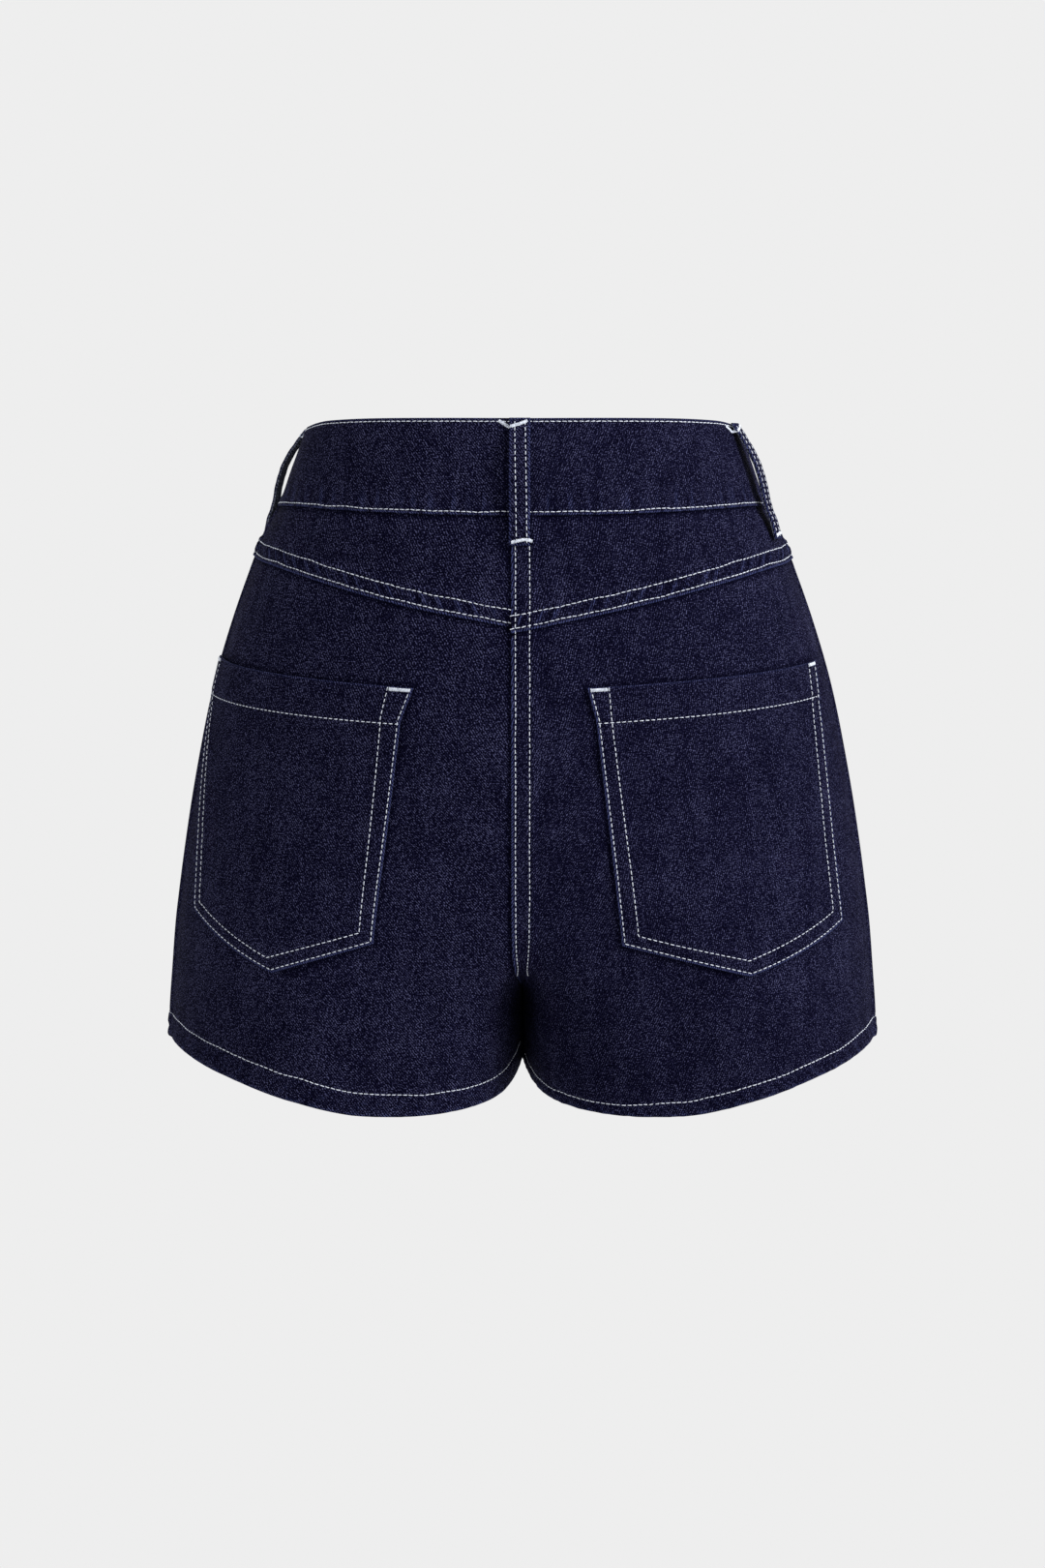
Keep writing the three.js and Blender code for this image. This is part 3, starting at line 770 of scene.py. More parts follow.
hemStitch = {  # height of the stitch above the hem, by the way round
    "left": lineCurve([
        (0, 14.2), (0.07, 13.6), (0.12, 12.0), (0.2, 12.4), (0.28, 14.0), (0.36, 14.3), (0.45, 13.9),
        (1, 13),
    ]),
    "right": lineCurve([
        (0, 7.0), (0.1, 6.2), (0.17, 6.2), (0.21, 7.9), (0.27, 9.1), (0.36, 9.6), (0.45, 11.5), (1, 12.5),
    ]),
}


def sideLap(edge):
    return cloth["lapRise"] * (1 - smoothStep(*cloth["sideLap"], edge))


def felledSeam(s):
    ridge = cloth["lapRise"] * (1 - smoothStep(*cloth["felled"], s))
    return ridge + groove(s - centreLines[0]) + groove(s - centreLines[1])


def hemRise(height, along, stitch, seed):
    band = 1 - smoothStep(-hemTurn["riseHalf"], hemTurn["riseHalf"], height - stitch)
    rope = ripple(along + hemTurn["ropeSlant"] * height, hemTurn["ropePitch"], seed)
    rope = rope * bell(height - stitch / 2, hemTurn["ropeWidth"])
    return hemTurn["rise"] * band + hemTurn["rope"] * rope + groove(height - stitch, *hemTurn["groove"])


# Pale wear on the hem's edge and on rope ridges, with painted shade in the rope hollows
def hemWearAndShade(height, along, stitch, seed):
    edge = wornEdge(height, hemTurn["wear"]) * (0.6 + 0.6 * ripple(along, hemTurn["wearPitch"], seed))
    waves = ripple(along + hemTurn["ropeSlant"] * height, hemTurn["barPitch"], seed + 1)
    return edge + hemTurn["ridgeWearHollowShade"] * ridgeWearHollowShade(waves * bell(height - stitch / 2, stitch / 3))


def makePanel(name, hand, towards, piece, top, seed):
    laps = hand == "right"
    lapSide = piece["lapSide"]
    lapAcross = piece["lapAcross"] if laps else 0
    places = columnPlaces(lapAcross, lapSide)
    middle = 0.0 if towards < 0 else 1.0
    rows = bodyRows(towards, float(top["z"](middle)), float(hemEdge(middle)))
    side = hands[hand]
    spots, base, s, down, edge, height = halfPiece(side, towards, places, top, legHem, rows, lapAcross)
    angle, z = spots[1:]
    onBody = smoothStep(crotchHeight + crotch["seamFade"][0], crotchHeight + crotch["seamFade"][1], z)
    lift = piece["folds"] * broadFolds(base[..., 0], z, seed) * calm(np.abs(s), edge, down, height)
    if laps:
        lift = lift + felledSeam(s) * onBody
    pucker = piece["pucker"] * ripple(down + seamPuckers["slant"] * s, seamPuckers["pitch"], seed + 5)
    lift = lift + pucker * bell(s - seamPuckers["place"], seamPuckers["width"]) * onBody
    pucker = piece["pucker"] * ripple(s - topPuckers["slant"] * down, topPuckers["pitch"], seed + 6)
    fade = bell(down, topPuckers["width"]) * smoothStep(*topPuckers["start"], down)
    lift = lift + pucker * topPuckers["share"] * fade
    if lapSide:
        lift = lift + sideLap(edge)
    stitch = hemStitch[hand]((angle / endAngle(z) + 1) / 2)
    lift = lift + hemRise(height, s, stitch, seed + 7)
    wall = mix(cloth["denim"], hemTurn["wall"], 1 - smoothStep(0, 1, height - stitch))
    drawn = edgeRound(height, hemTurn["edge"], wall / 2)
    # Hem wear, and painted shade in the rope hollows
    wearAndShade = hemWearAndShade(height, s, stitch, seed + 8)
    if lapSide:
        drawn = np.maximum(drawn, edgeRound(edge, *cloth["edge"]))
        fromPocket = np.min(pocketDistances(hand, np.stack([s, z], -1)), axis=0)
        # Painted shadows below the yoke's lapped edge and around the pocket's edges
        wearAndShade = wearAndShade + paintedShadeLine(down - piece["underYoke"], piece["yokeShade"])
        wearAndShade = wearAndShade + paintedShadeLine(fromPocket, piece["pocketShade"])
    else:
        # Painted shadow beside the side seam, under the back panel's lap
        wearAndShade = wearAndShade + paintedShadeLine(edge, piece["sideShade"])
    if laps:
        drawn = np.maximum(drawn, edgeRound(s - s[:, :1], *cloth["edge"]))
        wearAndShade = wearAndShade + wornEdge(s + lapAcross, cloth["lapWear"])
    elif lapSide:
        # Painted shadow to the left of the centre back's felled lap
        wearAndShade = wearAndShade + paintedShadeLine(s, piece["middleShade"])
    faces = [settleCrotch(face) for face in bothFaces(*spots, lift, wall, drawn)]
    return makeShell(name, hand, faces, grainMap(base, places), wearAndShade)


def makeYoke(hand, seed):
    laps = hand == "right"
    lapAcross = yokePiece["lapAcross"] if laps else 0
    places = columnPlaces(lapAcross, yokePiece["lapSide"])
    rows = np.concatenate([spread(*yokePiece["rows"]), 1 - edgeRun[::-1][1:] / yokePiece["tall"]])
    foot = yokeFeet[hand]
    spots, base, s, down, edge, height = halfPiece(hands[hand], -1, places, underBand, foot, rows, lapAcross)
    folded = broadFolds(base[..., 0], spots[2], seed) * calm(np.abs(s), edge, down, height)
    lift = yokePiece["folds"] * folded + cloth["lapRise"] * (1 - smoothStep(*yokePiece["footLap"], height))
    lift = lift + groove(height - yokeLineHeights[0]) + groove(height - yokeLineHeights[1]) + sideLap(edge)
    puckers = bell(height - yokePiece["puckerPlace"], yokePiece["puckerWidth"])
    puckers = puckers * ripple(s - yokePiece["puckerSlant"] * height, yokePiece["puckerPitch"], seed + 3)
    lift = lift + yokePiece["pucker"] * puckers
    drawn = edgeRound(np.minimum(height, edge), *cloth["edge"])
    # Wear on the foot's fold and pale pucker ridges; painted shade in the pucker hollows and below the waistband's
    # edge
    wearAndShade = wornEdge(height, yokePiece["wear"]) + ridgeWearHollowShade(puckers) + paintedShadeLine(down, yokePiece["topShade"])
    if laps:
        lift = lift + felledSeam(s)
        drawn = np.maximum(drawn, edgeRound(s - s[:, :1], *cloth["edge"]))
        wearAndShade = wearAndShade + wornEdge(s + lapAcross, cloth["lapWear"])
    else:
        # Painted shadow to the left of the centre back's lap and belt loop
        wearAndShade = wearAndShade + paintedShadeLine(s, yokePiece["middleShade"])
    faces = bothFaces(*spots, lift, cloth["denim"], drawn)
    return makeShell("yoke_" + hand, hand, faces, grainMap(base, places), wearAndShade)


bandPiece = {
    "length": 370.0, "tall": 47.0, "wall": 2.4, "foot": 1.25, "footEnds": (3, 6), "stand": 0.9,
    "standLow": 0.5, "standEnds": (4, 8), "overlapEnd": 12.0, "underlapEnd": 34.0, "underlapTurn": 12.0,
    "tuck": 0.6, "topLine": 1.9, "footLine": 1.7, "groove": 0.3, "ripple": 0.4, "lowWaves": (15, 7, 7),
    "highWaves": (41, 20, 14), "highShare": 0.6, "endCalm": (0, 8), "topEdge": (1.2, 1.15),
    "footEdge": (0.6, 0.58), "endEdge": 0.9, "topWear": (0.3, 0.0, 1.0), "footWear": (0.35, 0.5, 0.6),
    "ridgeWearHollowShade": 0.5, "barWaves": (7, 6, 5), "shade": (7.6, 2.0), "columns": ((0, 310, 1.8), (310, 368.8, 1.0)),
    "rows": ((1.2, 5, 0.6), (5, 36, 1.7), (36, 45.8, 0.7)),
}
bandTurn = float(perMillimetre(quarter, 0.0))  # radians for a millimetre at the centre front
leastHalf = 0.03  # of a wall that a rounded edge leaves


def bandWaves(s, height, sizes, seed):  # sizes are spacing, place above the foot and width
    spacing, place, width = sizes
    return ripple(s, spacing, seed) * bell(height - place, width)


def makeBand(hand, seed):
    side = hands[hand]
    left = hand == "left"
    start = -float(endAngle(0.0))
    end = quarter + bandPiece["underlapEnd" if left else "overlapEnd"] * bandTurn
    stepEnd = quarter - (bandPiece["overlapEnd"] + cloth["gap"]) * bandTurn
    stepStart = stepEnd - bandPiece["underlapTurn"] * bandTurn
    tucked = bandPiece["wall"] + bandPiece["tuck"] if left else 0.0
    columns = shares(bandPiece["length"], bandPiece["columns"], first=edgeRun[:1])
    rows = shares(bandPiece["tall"], bandPiece["rows"])
    angle = mix(start, end, columns)[None, :] + 0 * rows[:, None]
    around = (angle / quarter + 1) / 2
    z = mix(topEdge(around), bandFoot(around), rows[:, None])
    s, down = walkAcross(tubePoint(side, angle, z))
    height = down[-1:, :] - down
    edge = s[:, -1:] - s
    waves = bandWaves(s, height, bandPiece["lowWaves"], seed)
    waves = waves + bandPiece["highShare"] * bandWaves(s, height, bandPiece["highWaves"], seed + 1)
    lift = bandPiece["stand"] + bandPiece["standLow"] * (1 - smoothStep(*bandPiece["standEnds"], height))
    lift = lift + bandPiece["ripple"] * waves * smoothStep(*bandPiece["endCalm"], edge)
    lift = lift - tucked * smoothStep(stepStart, stepEnd, angle)
    lift = lift + groove(down - bandPiece["topLine"], bandPiece["groove"])
    lift = lift + groove(height - bandPiece["footLine"], bandPiece["groove"])
    wall = mix(bandPiece["wall"], bandPiece["foot"], 1 - smoothStep(*bandPiece["footEnds"], height))
    drawn = np.maximum(edgeRound(down, *bandPiece["topEdge"]), edgeRound(height, *bandPiece["footEdge"]))
    drawn = np.maximum(drawn, edgeRound(edge, bandPiece["endEdge"], wall / 2 - leastHalf))
    wearAndShade = wornEdge(down, bandPiece["topWear"]) + wornEdge(height, bandPiece["footWear"])
    # Pale ridges of wear and painted shade in the hollows of small puckers above the band's foot
    wearAndShade = wearAndShade + bandPiece["ridgeWearHollowShade"] * ridgeWearHollowShade(bandWaves(s, height, bandPiece["barWaves"], seed + 2))
    if left:
        # Painted shadow of the centre back belt loop on the band's left half
        wearAndShade = wearAndShade + paintedShadeLine(s, bandPiece["shade"])
    faces = bothFaces(side, angle, z, lift, wall, drawn)
    return makeShell("waistband_" + hand, hand, faces, (s, down), wearAndShade)


def makePocket(hand, seed):
    innerTop, innerBend, innerFoot, tip, outerFoot, outerBend, outerTop = pocketCorners(hand)
    wide, step, bendAt = pocketPiece["wide"], pocketPiece["step"], pocketPiece["bend"]
    end = wide - sideRun[-1]
    columns = np.unique(np.append(shares(wide, ((sideRun[-1], end, step),), sideRun, sideRun), 0.5))
    rows = np.unique(np.append(shares(wide, ((topRun[-1], end, step),), sideRun, topRun), bendAt))
    c = columns[None, :, None]
    r = rows[:, None, None]
    top = mix(innerTop, outerTop, c)
    bend = mix(innerBend, outerBend, c)
    foot = np.where(c < 0.5, mix(innerFoot, tip, c * 2), mix(tip, outerFoot, c * 2 - 1))
    flat = np.where(r < bendAt, mix(top, bend, r / bendAt), mix(bend, foot, (r - bendAt) / (1 - bendAt)))
    x, z = flat[..., 0], flat[..., 1]
    fromSide, fromTop = pocketDistances(hand, flat)
    fromEdge = np.minimum(fromSide, fromTop)
    hemAt = np.interp(x, *zip(innerBend, outerBend)) - pocketPiece["hemLine"]
    lift = pocketPiece["stand"] + cloth["denim"]
    lift = lift + pocketPiece["allowance"] * (1 - smoothStep(*pocketPiece["allowanceEnds"], fromSide))
    lift = lift + pocketPiece["hemRise"] * (1 - smoothStep(*pocketPiece["hemEnds"], hemAt - z))
    lift = lift + groove(fromSide - pocketPiece["outerLine"]) + groove(z - hemAt)
    lift = lift + groove(chainDistance(flat, pocketLines(hand)[1]), 0.3)
    gape = np.sin(math.pi * columns[None, :]) * (1 - smoothStep(0, pocketPiece["gapeDepth"], fromTop))
    lift = lift + pocketPiece["gape"] * gape
    still = smoothStep(*pocketPiece["sideCalm"], fromSide) * smoothStep(*pocketPiece["topCalm"], fromTop)
    lift = lift + pocketPiece["folds"] * broadFolds(x, z, seed) * still
    along = np.where(np.abs(c[..., 0] - 0.5) > pocketPiece["sideShare"], z, x)
    pucker = pocketPiece["pucker"] * ripple(along, pocketPiece["puckerPitch"], seed + 2)
    lift = lift + pucker * bell(fromSide - pocketPiece["puckerPlace"], pocketPiece["puckerWidth"])
    turned = pocketPiece["turned"] * (1 - smoothStep(*pocketPiece["allowanceEnds"], fromEdge))
    wall = cloth["denim"] + turned
    drawn = edgeRound(fromEdge, pocketPiece["edge"], wall / 2 - leastHalf)
    faces = bothFaces(hands[hand], angleAtDistance(x, z), z, lift, wall, drawn)
    wearAndShade = wornEdge(fromSide, pocketPiece["sideWear"]) + wornEdge(fromTop, pocketPiece["topWear"])
    across, down = walkAcross(faces[0])
    uvPlaces = (across + pocketPiece["uvStart"][0], down + pocketPiece["uvStart"][1])
    return makeShell("pocket_" + hand, hand, faces, uvPlaces, wearAndShade, pocketPiece["uvTurn"][hand])


# Belt loops: name, side, degrees round from the centre back, and how far each bows out
loops = [
    ("loop_back", -1, 0.65, 5.0), ("loop_left_side", -1, 98.0, 6.4), ("loop_right_side", 1, 69.0, 5.0),
    ("loop_left_front", -1, 142.0, 5.0), ("loop_right_front", 1, 142.0, 5.0),
]
loopPiece = {
    "width": 10.5, "length": 64, "wall": 1.8, "foot": -40.5, "belowTop": 0.3, "stand": 1.3,
    "bowPlace": 0.88, "bowEnds": 1.2, "bowLess": 0.4, "line": 2.6, "groove": (0.25, 0.6), "ripple": 0.12,
    "ripplePitch": 8, "edge": (0.9, 0.86), "wear": (0.35, 0.5, 0.5), "lean": (0.0, 1.15),
    "sewn": (0.05, 0.965), "reach": 14.0,
    "topTack": [(-0.5, 0.02), (0.05, 0.075), (0.4, 0.06), (0.84, 0.03)],
    "footTack": [(0.14, 0.975), (0.45, 0.964), (0.75, 0.953), (1.1, 0.962)],
    "run": np.array([0, 0.1, 0.3, 0.6, 1.0, 1.5, 2.0, 2.3, 2.7, 3.2]), "middle": (0.34, 0.66, 6),
    "step": 1.12,
}


def loopSpots(side, turn, rise, share, rows):
    centre = math.radians(turn) - quarter
    z = mix(topEdge(turn / 180) - loopPiece["belowTop"], loopPiece["foot"], rows)
    angle = centre + (share - 0.5) * loopPiece["width"] * perMillimetre(centre + 0 * z, z)
    bow = np.maximum(np.sin(math.pi * rows ** loopPiece["bowPlace"]), 0) ** loopPiece["bowEnds"]
    return angle, z, loopPiece["stand"] + (rise - loopPiece["bowLess"]) * bow


def makeLoop(name, side, turn, rise, seed):
    width, length = loopPiece["width"], loopPiece["length"]
    run = loopPiece["run"] / width
    columns = np.unique(np.concatenate([run, np.linspace(*loopPiece["middle"]), 1 - run]))
    rows = shares(length, ((edgeRun[-1], length - edgeRun[-1], loopPiece["step"]),))
    columns, rows = np.meshgrid(columns, rows)
    angle, z, lift = loopSpots(side, turn, rise, columns, rows)
    across = (columns - 0.5) * width
    lift = lift + loopPiece["wall"] + groove(np.abs(across) - loopPiece["line"], *loopPiece["groove"])
    lift = lift + loopPiece["ripple"] * ripple(rows * length, loopPiece["ripplePitch"], seed)
    edge = np.minimum(width / 2 - np.abs(across), np.minimum(rows, 1 - rows) * length)
    faces = bothFaces(side, angle, z, lift, loopPiece["wall"], edgeRound(edge, *loopPiece["edge"]))
    hand = "left" if side < 0 else "right"
    return makeShell(name, hand, faces, (across, rows * length), wornEdge(edge, loopPiece["wear"]))


shieldPiece = {"half": 19.0, "foot": -158.0, "length": 130, "behind": 1.8, "wave": (0.15, 30), "grid": (24, 60)}


def makeShield(seed):
    columns, rows = shieldPiece["grid"]
    share, rows = np.meshgrid(np.linspace(-1, 1, columns), np.linspace(0, 1, rows))
    z = mix(float(bandFoot(1.0)) - cloth["gap"], shieldPiece["foot"], rows)
    angle = quarter + share * shieldPiece["half"] * perMillimetre(quarter + 0 * z, z)
    size, spacing = shieldPiece["wave"]
    lift = size * ripple(rows * shieldPiece["length"], spacing, seed) - shieldPiece["behind"]
    faces = bothFaces(1, angle, z, lift, cloth["denim"], 0)
    return makeShell("fly_shield", "right", faces, walkAcross(faces[0]), 0 * z)


def yokeCover(hand):  # the yoke's foot covers the top of the back panel
    foot = yokeFeet[hand]
    return {"z": lambda around: foot["z"](around) + backPiece["underYoke"], "near": foot["near"]}


shells = {}
for hand, seed in (("left", 11), ("right", 41)):
    shells["back_" + hand] = makePanel("back_" + hand, hand, -1, backPiece, yokeCover(hand), seed)
    shells["front_" + hand] = makePanel("front_" + hand, hand, 1, frontPiece, underBand, seed + 10)
    shells["yoke_" + hand] = makeYoke(hand, seed + 20)
    shells["waistband_" + hand] = makeBand(hand, seed + 23)
    shells["pocket_" + hand] = makePocket(hand, seed + 26)
for k, (name, side, turn, rise) in enumerate(loops):
    shells[name] = makeLoop(name, side, turn, rise, 90 + k)
shells["fly_shield"] = makeShield(7)
for node, piece in shells.items():
    kind, hand = node.split("_")[:2]
    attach(piece, "root")
    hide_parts(node)
    if kind == "loop":
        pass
    elif kind == "fly":
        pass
    else:
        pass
print("cloth pieces ready")


def castTree(names):  # the outer faces of some shells, for sewing to lie on
    points, faces, start = [], [], 0
    for name in names:
        mesh = shells[name].data
        places = np.zeros(len(mesh.vertices) * 3, np.float32)
        mesh.vertices.foreach_get("co", places)
        corners = np.zeros(len(mesh.loops), np.int32)
        mesh.loops.foreach_get("vertex_index", corners)
        kinds = np.zeros(len(mesh.polygons), np.int32)
        mesh.polygons.foreach_get("material_index", kinds)
        points.append(places.reshape(-1, 3))
        faces.append(corners.reshape(-1, 4)[kinds == 0] + start)
        start += len(mesh.vertices)
    return BVHTree.FromPolygons(np.concatenate(points).tolist(), np.concatenate(faces).tolist())


def layPath(tree, side, angle, z, across=False, reach=9.0):  # drops a path onto the cloth along its normal
    side = np.asarray(side) + 0 * z
    laid, ups = [], []
    for point, normal in zip(tubePoint(side, angle, z), tubeNormal(side, angle, z)):
        start = Vector((point + normal * reach) * mm)
        hit, _, _, _ = tree.ray_cast(start, Vector(-normal), 2 * reach * mm)
        if hit is not None:
            laid.append(np.array(hit))
            ups.append(normal)
    return np.array(laid), np.array(ups), across


# Sewing in millimetres; wander is each stitch's loose turn in radians
sewing = {"pitch": 3.0, "length": 1.85, "thread": 0.23, "rise": 0.45, "sink": 0.15, "wander": 0.08}
running = {"pitch": 2.9, "length": 2.15, "thread": 0.24, "rise": 0.42, "sink": 0.15, "wander": 0.14}
tack = {"pitch": 0.42, "length": 1.5, "thread": 0.25, "rise": 0.5, "sink": 0.1, "wander": 0.2}
hemRun = (0.045, 0.98)  # the thighs press together at the inseam
handWander = {"size": 0.22, "spacing": 26.0}


def makeSewingTree():
    tree = bpy.data.node_groups.new("sewnThread", "GeometryNodeTree")
    face = tree.interface
    face.new_socket("Geometry", in_out="INPUT", socket_type="NodeSocketGeometry")
    for name in ("Pitch", "Length", "Thread", "Rise", "Sink", "Wander"):
        face.new_socket(name, in_out="INPUT", socket_type="NodeSocketFloat")
    face.new_socket("Seed", in_out="INPUT", socket_type="NodeSocketInt")
    face.new_socket("Material", in_out="INPUT", socket_type="NodeSocketMaterial")
    face.new_socket("Geometry", in_out="OUTPUT", socket_type="NodeSocketGeometry")

    def add(kind, values=None, **settings):  # gives the new node's first output
        made = tree.nodes.new(kind)
        for key, value in settings.items():
            setattr(made, key, value)
        for key, value in (values or {}).items():
            if isinstance(value, bpy.types.NodeSocket):
                tree.links.new(value, made.inputs[key])
            else:
                made.inputs[key].default_value = value
        return made.outputs[0]

    def times(value, factor):
        return add("ShaderNodeMath", {0: value, 1: factor}, operation="MULTIPLY")

    def vector(x, y, z):
        return add("ShaderNodeCombineXYZ", {0: x, 1: y, 2: z})

    def direction(name):
        return add("GeometryNodeInputNamedAttribute", {"Name": name}, data_type="FLOAT_VECTOR")

    given = tree.nodes.new("NodeGroupInput").outputs
    seam = add("GeometryNodeMeshToCurve", {0: given["Geometry"]})
    even = add("GeometryNodeResampleCurve", {"Curve": seam, "Length": given["Pitch"]}, mode="LENGTH")
    axes = {0: direction("up"), 1: direction("lay")}
    turn = add("FunctionNodeAxesToRotation", axes, primary_axis="Z", secondary_axis="X")
    back = times(given["Wander"], -1.0)
    wander = {
        "Min": vector(back, back, back), "Max": vector(*[given["Wander"]] * 3), "Seed": given["Seed"],
    }
    chance = add("FunctionNodeRandomValue", wander, data_type="FLOAT_VECTOR")
    loose = add("FunctionNodeEulerToRotation", {0: chance})
    turned = add("FunctionNodeRotateRotation", {0: turn, 1: loose}, rotation_space="LOCAL")
    deep = times(given["Sink"], -1.0)
    start = vector(times(given["Length"], -0.5), 0.0, deep)
    end = vector(times(given["Length"], 0.5), 0.0, deep)
    spots = {"Resolution": 5, "Start": start, "Middle": vector(0.0, 0.0, given["Rise"]), "End": end}
    arch = add("GeometryNodeCurveQuadraticBezier", spots)
    ring = add("GeometryNodeCurvePrimitiveCircle", {"Resolution": 6, "Radius": given["Thread"]})
    one = add("GeometryNodeCurveToMesh", {"Curve": arch, "Profile Curve": ring, "Fill Caps": True})
    smooth = add("GeometryNodeSetShadeSmooth", {"Geometry": one})
    sewn = add("GeometryNodeInstanceOnPoints", {"Points": even, "Instance": smooth, "Rotation": turned})
    real = add("GeometryNodeRealizeInstances", {"Geometry": sewn})
    dyed = add("GeometryNodeSetMaterial", {"Geometry": real, "Material": given["Material"]})
    tree.links.new(dyed, tree.nodes.new("NodeGroupOutput").inputs[0])
    return tree


sewingTree = makeSewingTree()


def sew(name, paths, sizes, seed):  # a path is points, their normals, and if stitches lie across it
    points, edges, ups, lays = [], [], [], []
    start = 0
    for laid, up, across in paths:
        if len(laid) < 2:
            continue
        lay = np.gradient(laid, axis=0)
        if across:
            lay = np.cross(up, lay)
        points.append(laid)
        ups.append(up)
        lays.append(lay / np.linalg.norm(lay, axis=-1, keepdims=True))
        edges.extend((start + k, start + k + 1) for k in range(len(laid) - 1))
        start += len(laid)
    mesh = bpy.data.meshes.new(name + "Paths")
    mesh.from_pydata(np.concatenate(points).tolist(), edges, [])
    for key, values in (("up", ups), ("lay", lays)):
        attribute = mesh.attributes.new(key, "FLOAT_VECTOR", "POINT")
        attribute.data.foreach_set("vector", np.concatenate(values).astype(np.float32).ravel())
    path = addObject(name + "Paths", mesh)
    modifier = path.modifiers.new("sewing", "NODES")
    modifier.node_group = sewingTree
    given = {key.capitalize(): size * mm for key, size in sizes.items()}
    given.update({"Wander": sizes["wander"], "Seed": seed, "Material": thread})
    for item in sewingTree.interface.items_tree:
        if item.in_out == "INPUT" and item.name in given:
            modifier[item.identifier] = given[item.name]
    graph = bpy.context.evaluated_depsgraph_get()
    made = path.evaluated_get(graph)
    result = bpy.data.meshes.new_from_object(made, preserve_all_data_layers=True, depsgraph=graph)
    bpy.data.objects.remove(path)
    result.name = name
    sewn = addObject(name, result)
    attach(sewn, "root")


bodyTree = castTree(["back_left", "back_right", "yoke_left", "yoke_right", "front_left", "front_right"])
wholeTree = castTree([name for name in shells if not name.startswith("pocket")])


def middleSpot(towards, s, z):  # s millimetres from the middle, negative on the wearer's left
    s = np.where(s < 0, s * lapFade(z), s) + 0 * z
    end = endAngle(z)
    angle = towards * (end - np.abs(s) * perMillimetre(towards * (end - besideEnd), z))
    return np.where(s < 0, -1, 1), angle, z


def unsteady(along, seed):  # the small waver of a hand-guided seam
    return handWander["size"] * ripple(along, handWander["spacing"], int(10 * seed) + 3)


seamRun = {"centre": (-41.5, -266.0), "yokeStart": {"left": 7.4, "right": -5.0}, "yokeEnd": 241.0}


def centrePaths():
    z = np.arange(*seamRun["centre"], -1.0)
    return [layPath(bodyTree, *middleSpot(-1, s + 0.5 * unsteady(z, 5 + s), z)) for s in centreLines]


def yokePaths():
    paths = []
    for hand, side in hands.items():
        column = np.arange(seamRun["yokeStart"][hand], seamRun["yokeEnd"], 1.0) / cloth["nominalHalf"]
        for above in yokeLineHeights:
            waver = unsteady(column * cloth["nominalHalf"], above)
            z = lineHeight(yokeFeet[hand], -1, column) + above + waver
            sides = np.where(column < 0, -side, side)
            paths.append(layPath(bodyTree, sides, columnAngle(-1, column, z), z))
    return paths


def hemPaths():
    paths = []
    legRound = 670
    for hand, side in hands.items():
        around = np.linspace(*hemRun, 620)
        z = hemEdge(around) + hemStitch[hand](around) + unsteady(around * legRound, 4 + side)
        legTree = castTree(["back_" + hand, "front_" + hand])
        paths.append(layPath(legTree, side, endAngle(z) * (2 * around - 1), z))
    return paths


bandStitch = {"start": 0.005, "endInset": 2.5, "underEnd": 5, "points": 360, "endPoints": 45}


def bandPaths():
    paths = []
    for hand, side in hands.items():
        tree = castTree(["waistband_" + hand])
        right = hand == "right"
        past = bandPiece["overlapEnd"] - bandStitch["endInset"] if right else bandStitch["underEnd"]
        stop = quarter + past * bandTurn
        angle = np.linspace(-quarter + bandStitch["start"], stop, bandStitch["points"])
        around = (angle / quarter + 1) / 2
        top = topEdge(around) - bandPiece["topLine"]
        foot = bandFoot(around) + bandPiece["footLine"]
        waver = unsteady(around * bandPiece["length"], 3 + side + bandPiece["footLine"])
        paths.append(layPath(tree, side, angle, top))
        paths.append(layPath(tree, side, angle, foot + waver))
        if right:
            z = np.linspace(foot[-1], top[-1], bandStitch["endPoints"])
            paths.append(layPath(tree, side, stop + 0 * z, z))
    return paths


def sampled(corners, step=1.0):
    places = []
    for start, end in zip(corners[:-1], corners[1:]):
        count = max(int(np.linalg.norm(end - start) / step), 2)
        places.append(mix(start, end, np.linspace(0, 1, count, endpoint=False)[:, None]))
    return np.concatenate([*places, corners[-1:]])


def pocketPaths(hand):
    tree = castTree(["pocket_" + hand])
    corners = pocketCorners(hand)
    outer, inner = pocketLines(hand)
    inset, below = pocketPiece["lineEnd"], pocketPiece["hemLine"]
    hem = np.array([corners[1], corners[-2]]) + np.array([(inset, -below), (-inset, -below)])

    def laid(line, step=1.0, across=False):
        flat = sampled(line, step)
        angle = angleAtDistance(flat[:, 0], flat[:, 1])
        return layPath(tree, hands[hand], angle, flat[:, 1], across)

    tacks = [np.array([outer[k], mix(outer[k], inner[k], 0.9)]) for k in (0, -1)]
    return [laid(line) for line in (outer, inner, hem)], [laid(line, 0.5, True) for line in tacks]


def loopPaths(name, side, turn, rise):
    tree = castTree([name])
    back = name == "loop_back"
    reach = loopPiece["reach"]
    paths, tacks = [], []
    rows = np.linspace(*loopPiece["sewn"], loopPiece["length"])
    lean = mix(*loopPiece["lean"], rows) if back else 0
    for across in (-loopPiece["line"], loopPiece["line"]):
        share = 0.5 + (across + side * lean) / loopPiece["width"]
        angle, z, _ = loopSpots(side, turn, rise, share, rows)
        paths.append(layPath(tree, side, angle, z, False, reach))
    for shape in (loopPiece["topTack"], loopPiece["footTack"]):
        places, heights = zip(*shape)
        share = np.linspace(places[0], places[-1], 28)
        rows = np.interp(share, places, heights)
        angle, z, _ = loopSpots(side, turn, rise, 1 - share if back else share, rows)
        tacks.append(layPath(wholeTree, side, angle, z, True, reach))
    return paths, tacks


flyLines = {
    "top": -31.0, "bend": -128.0, "reach": 38.0, "insets": (0.0, 6.5), "bendPoints": 50,
    "centre": (1.6, 8.4), "centreRun": (-167.0, -268.0),
}


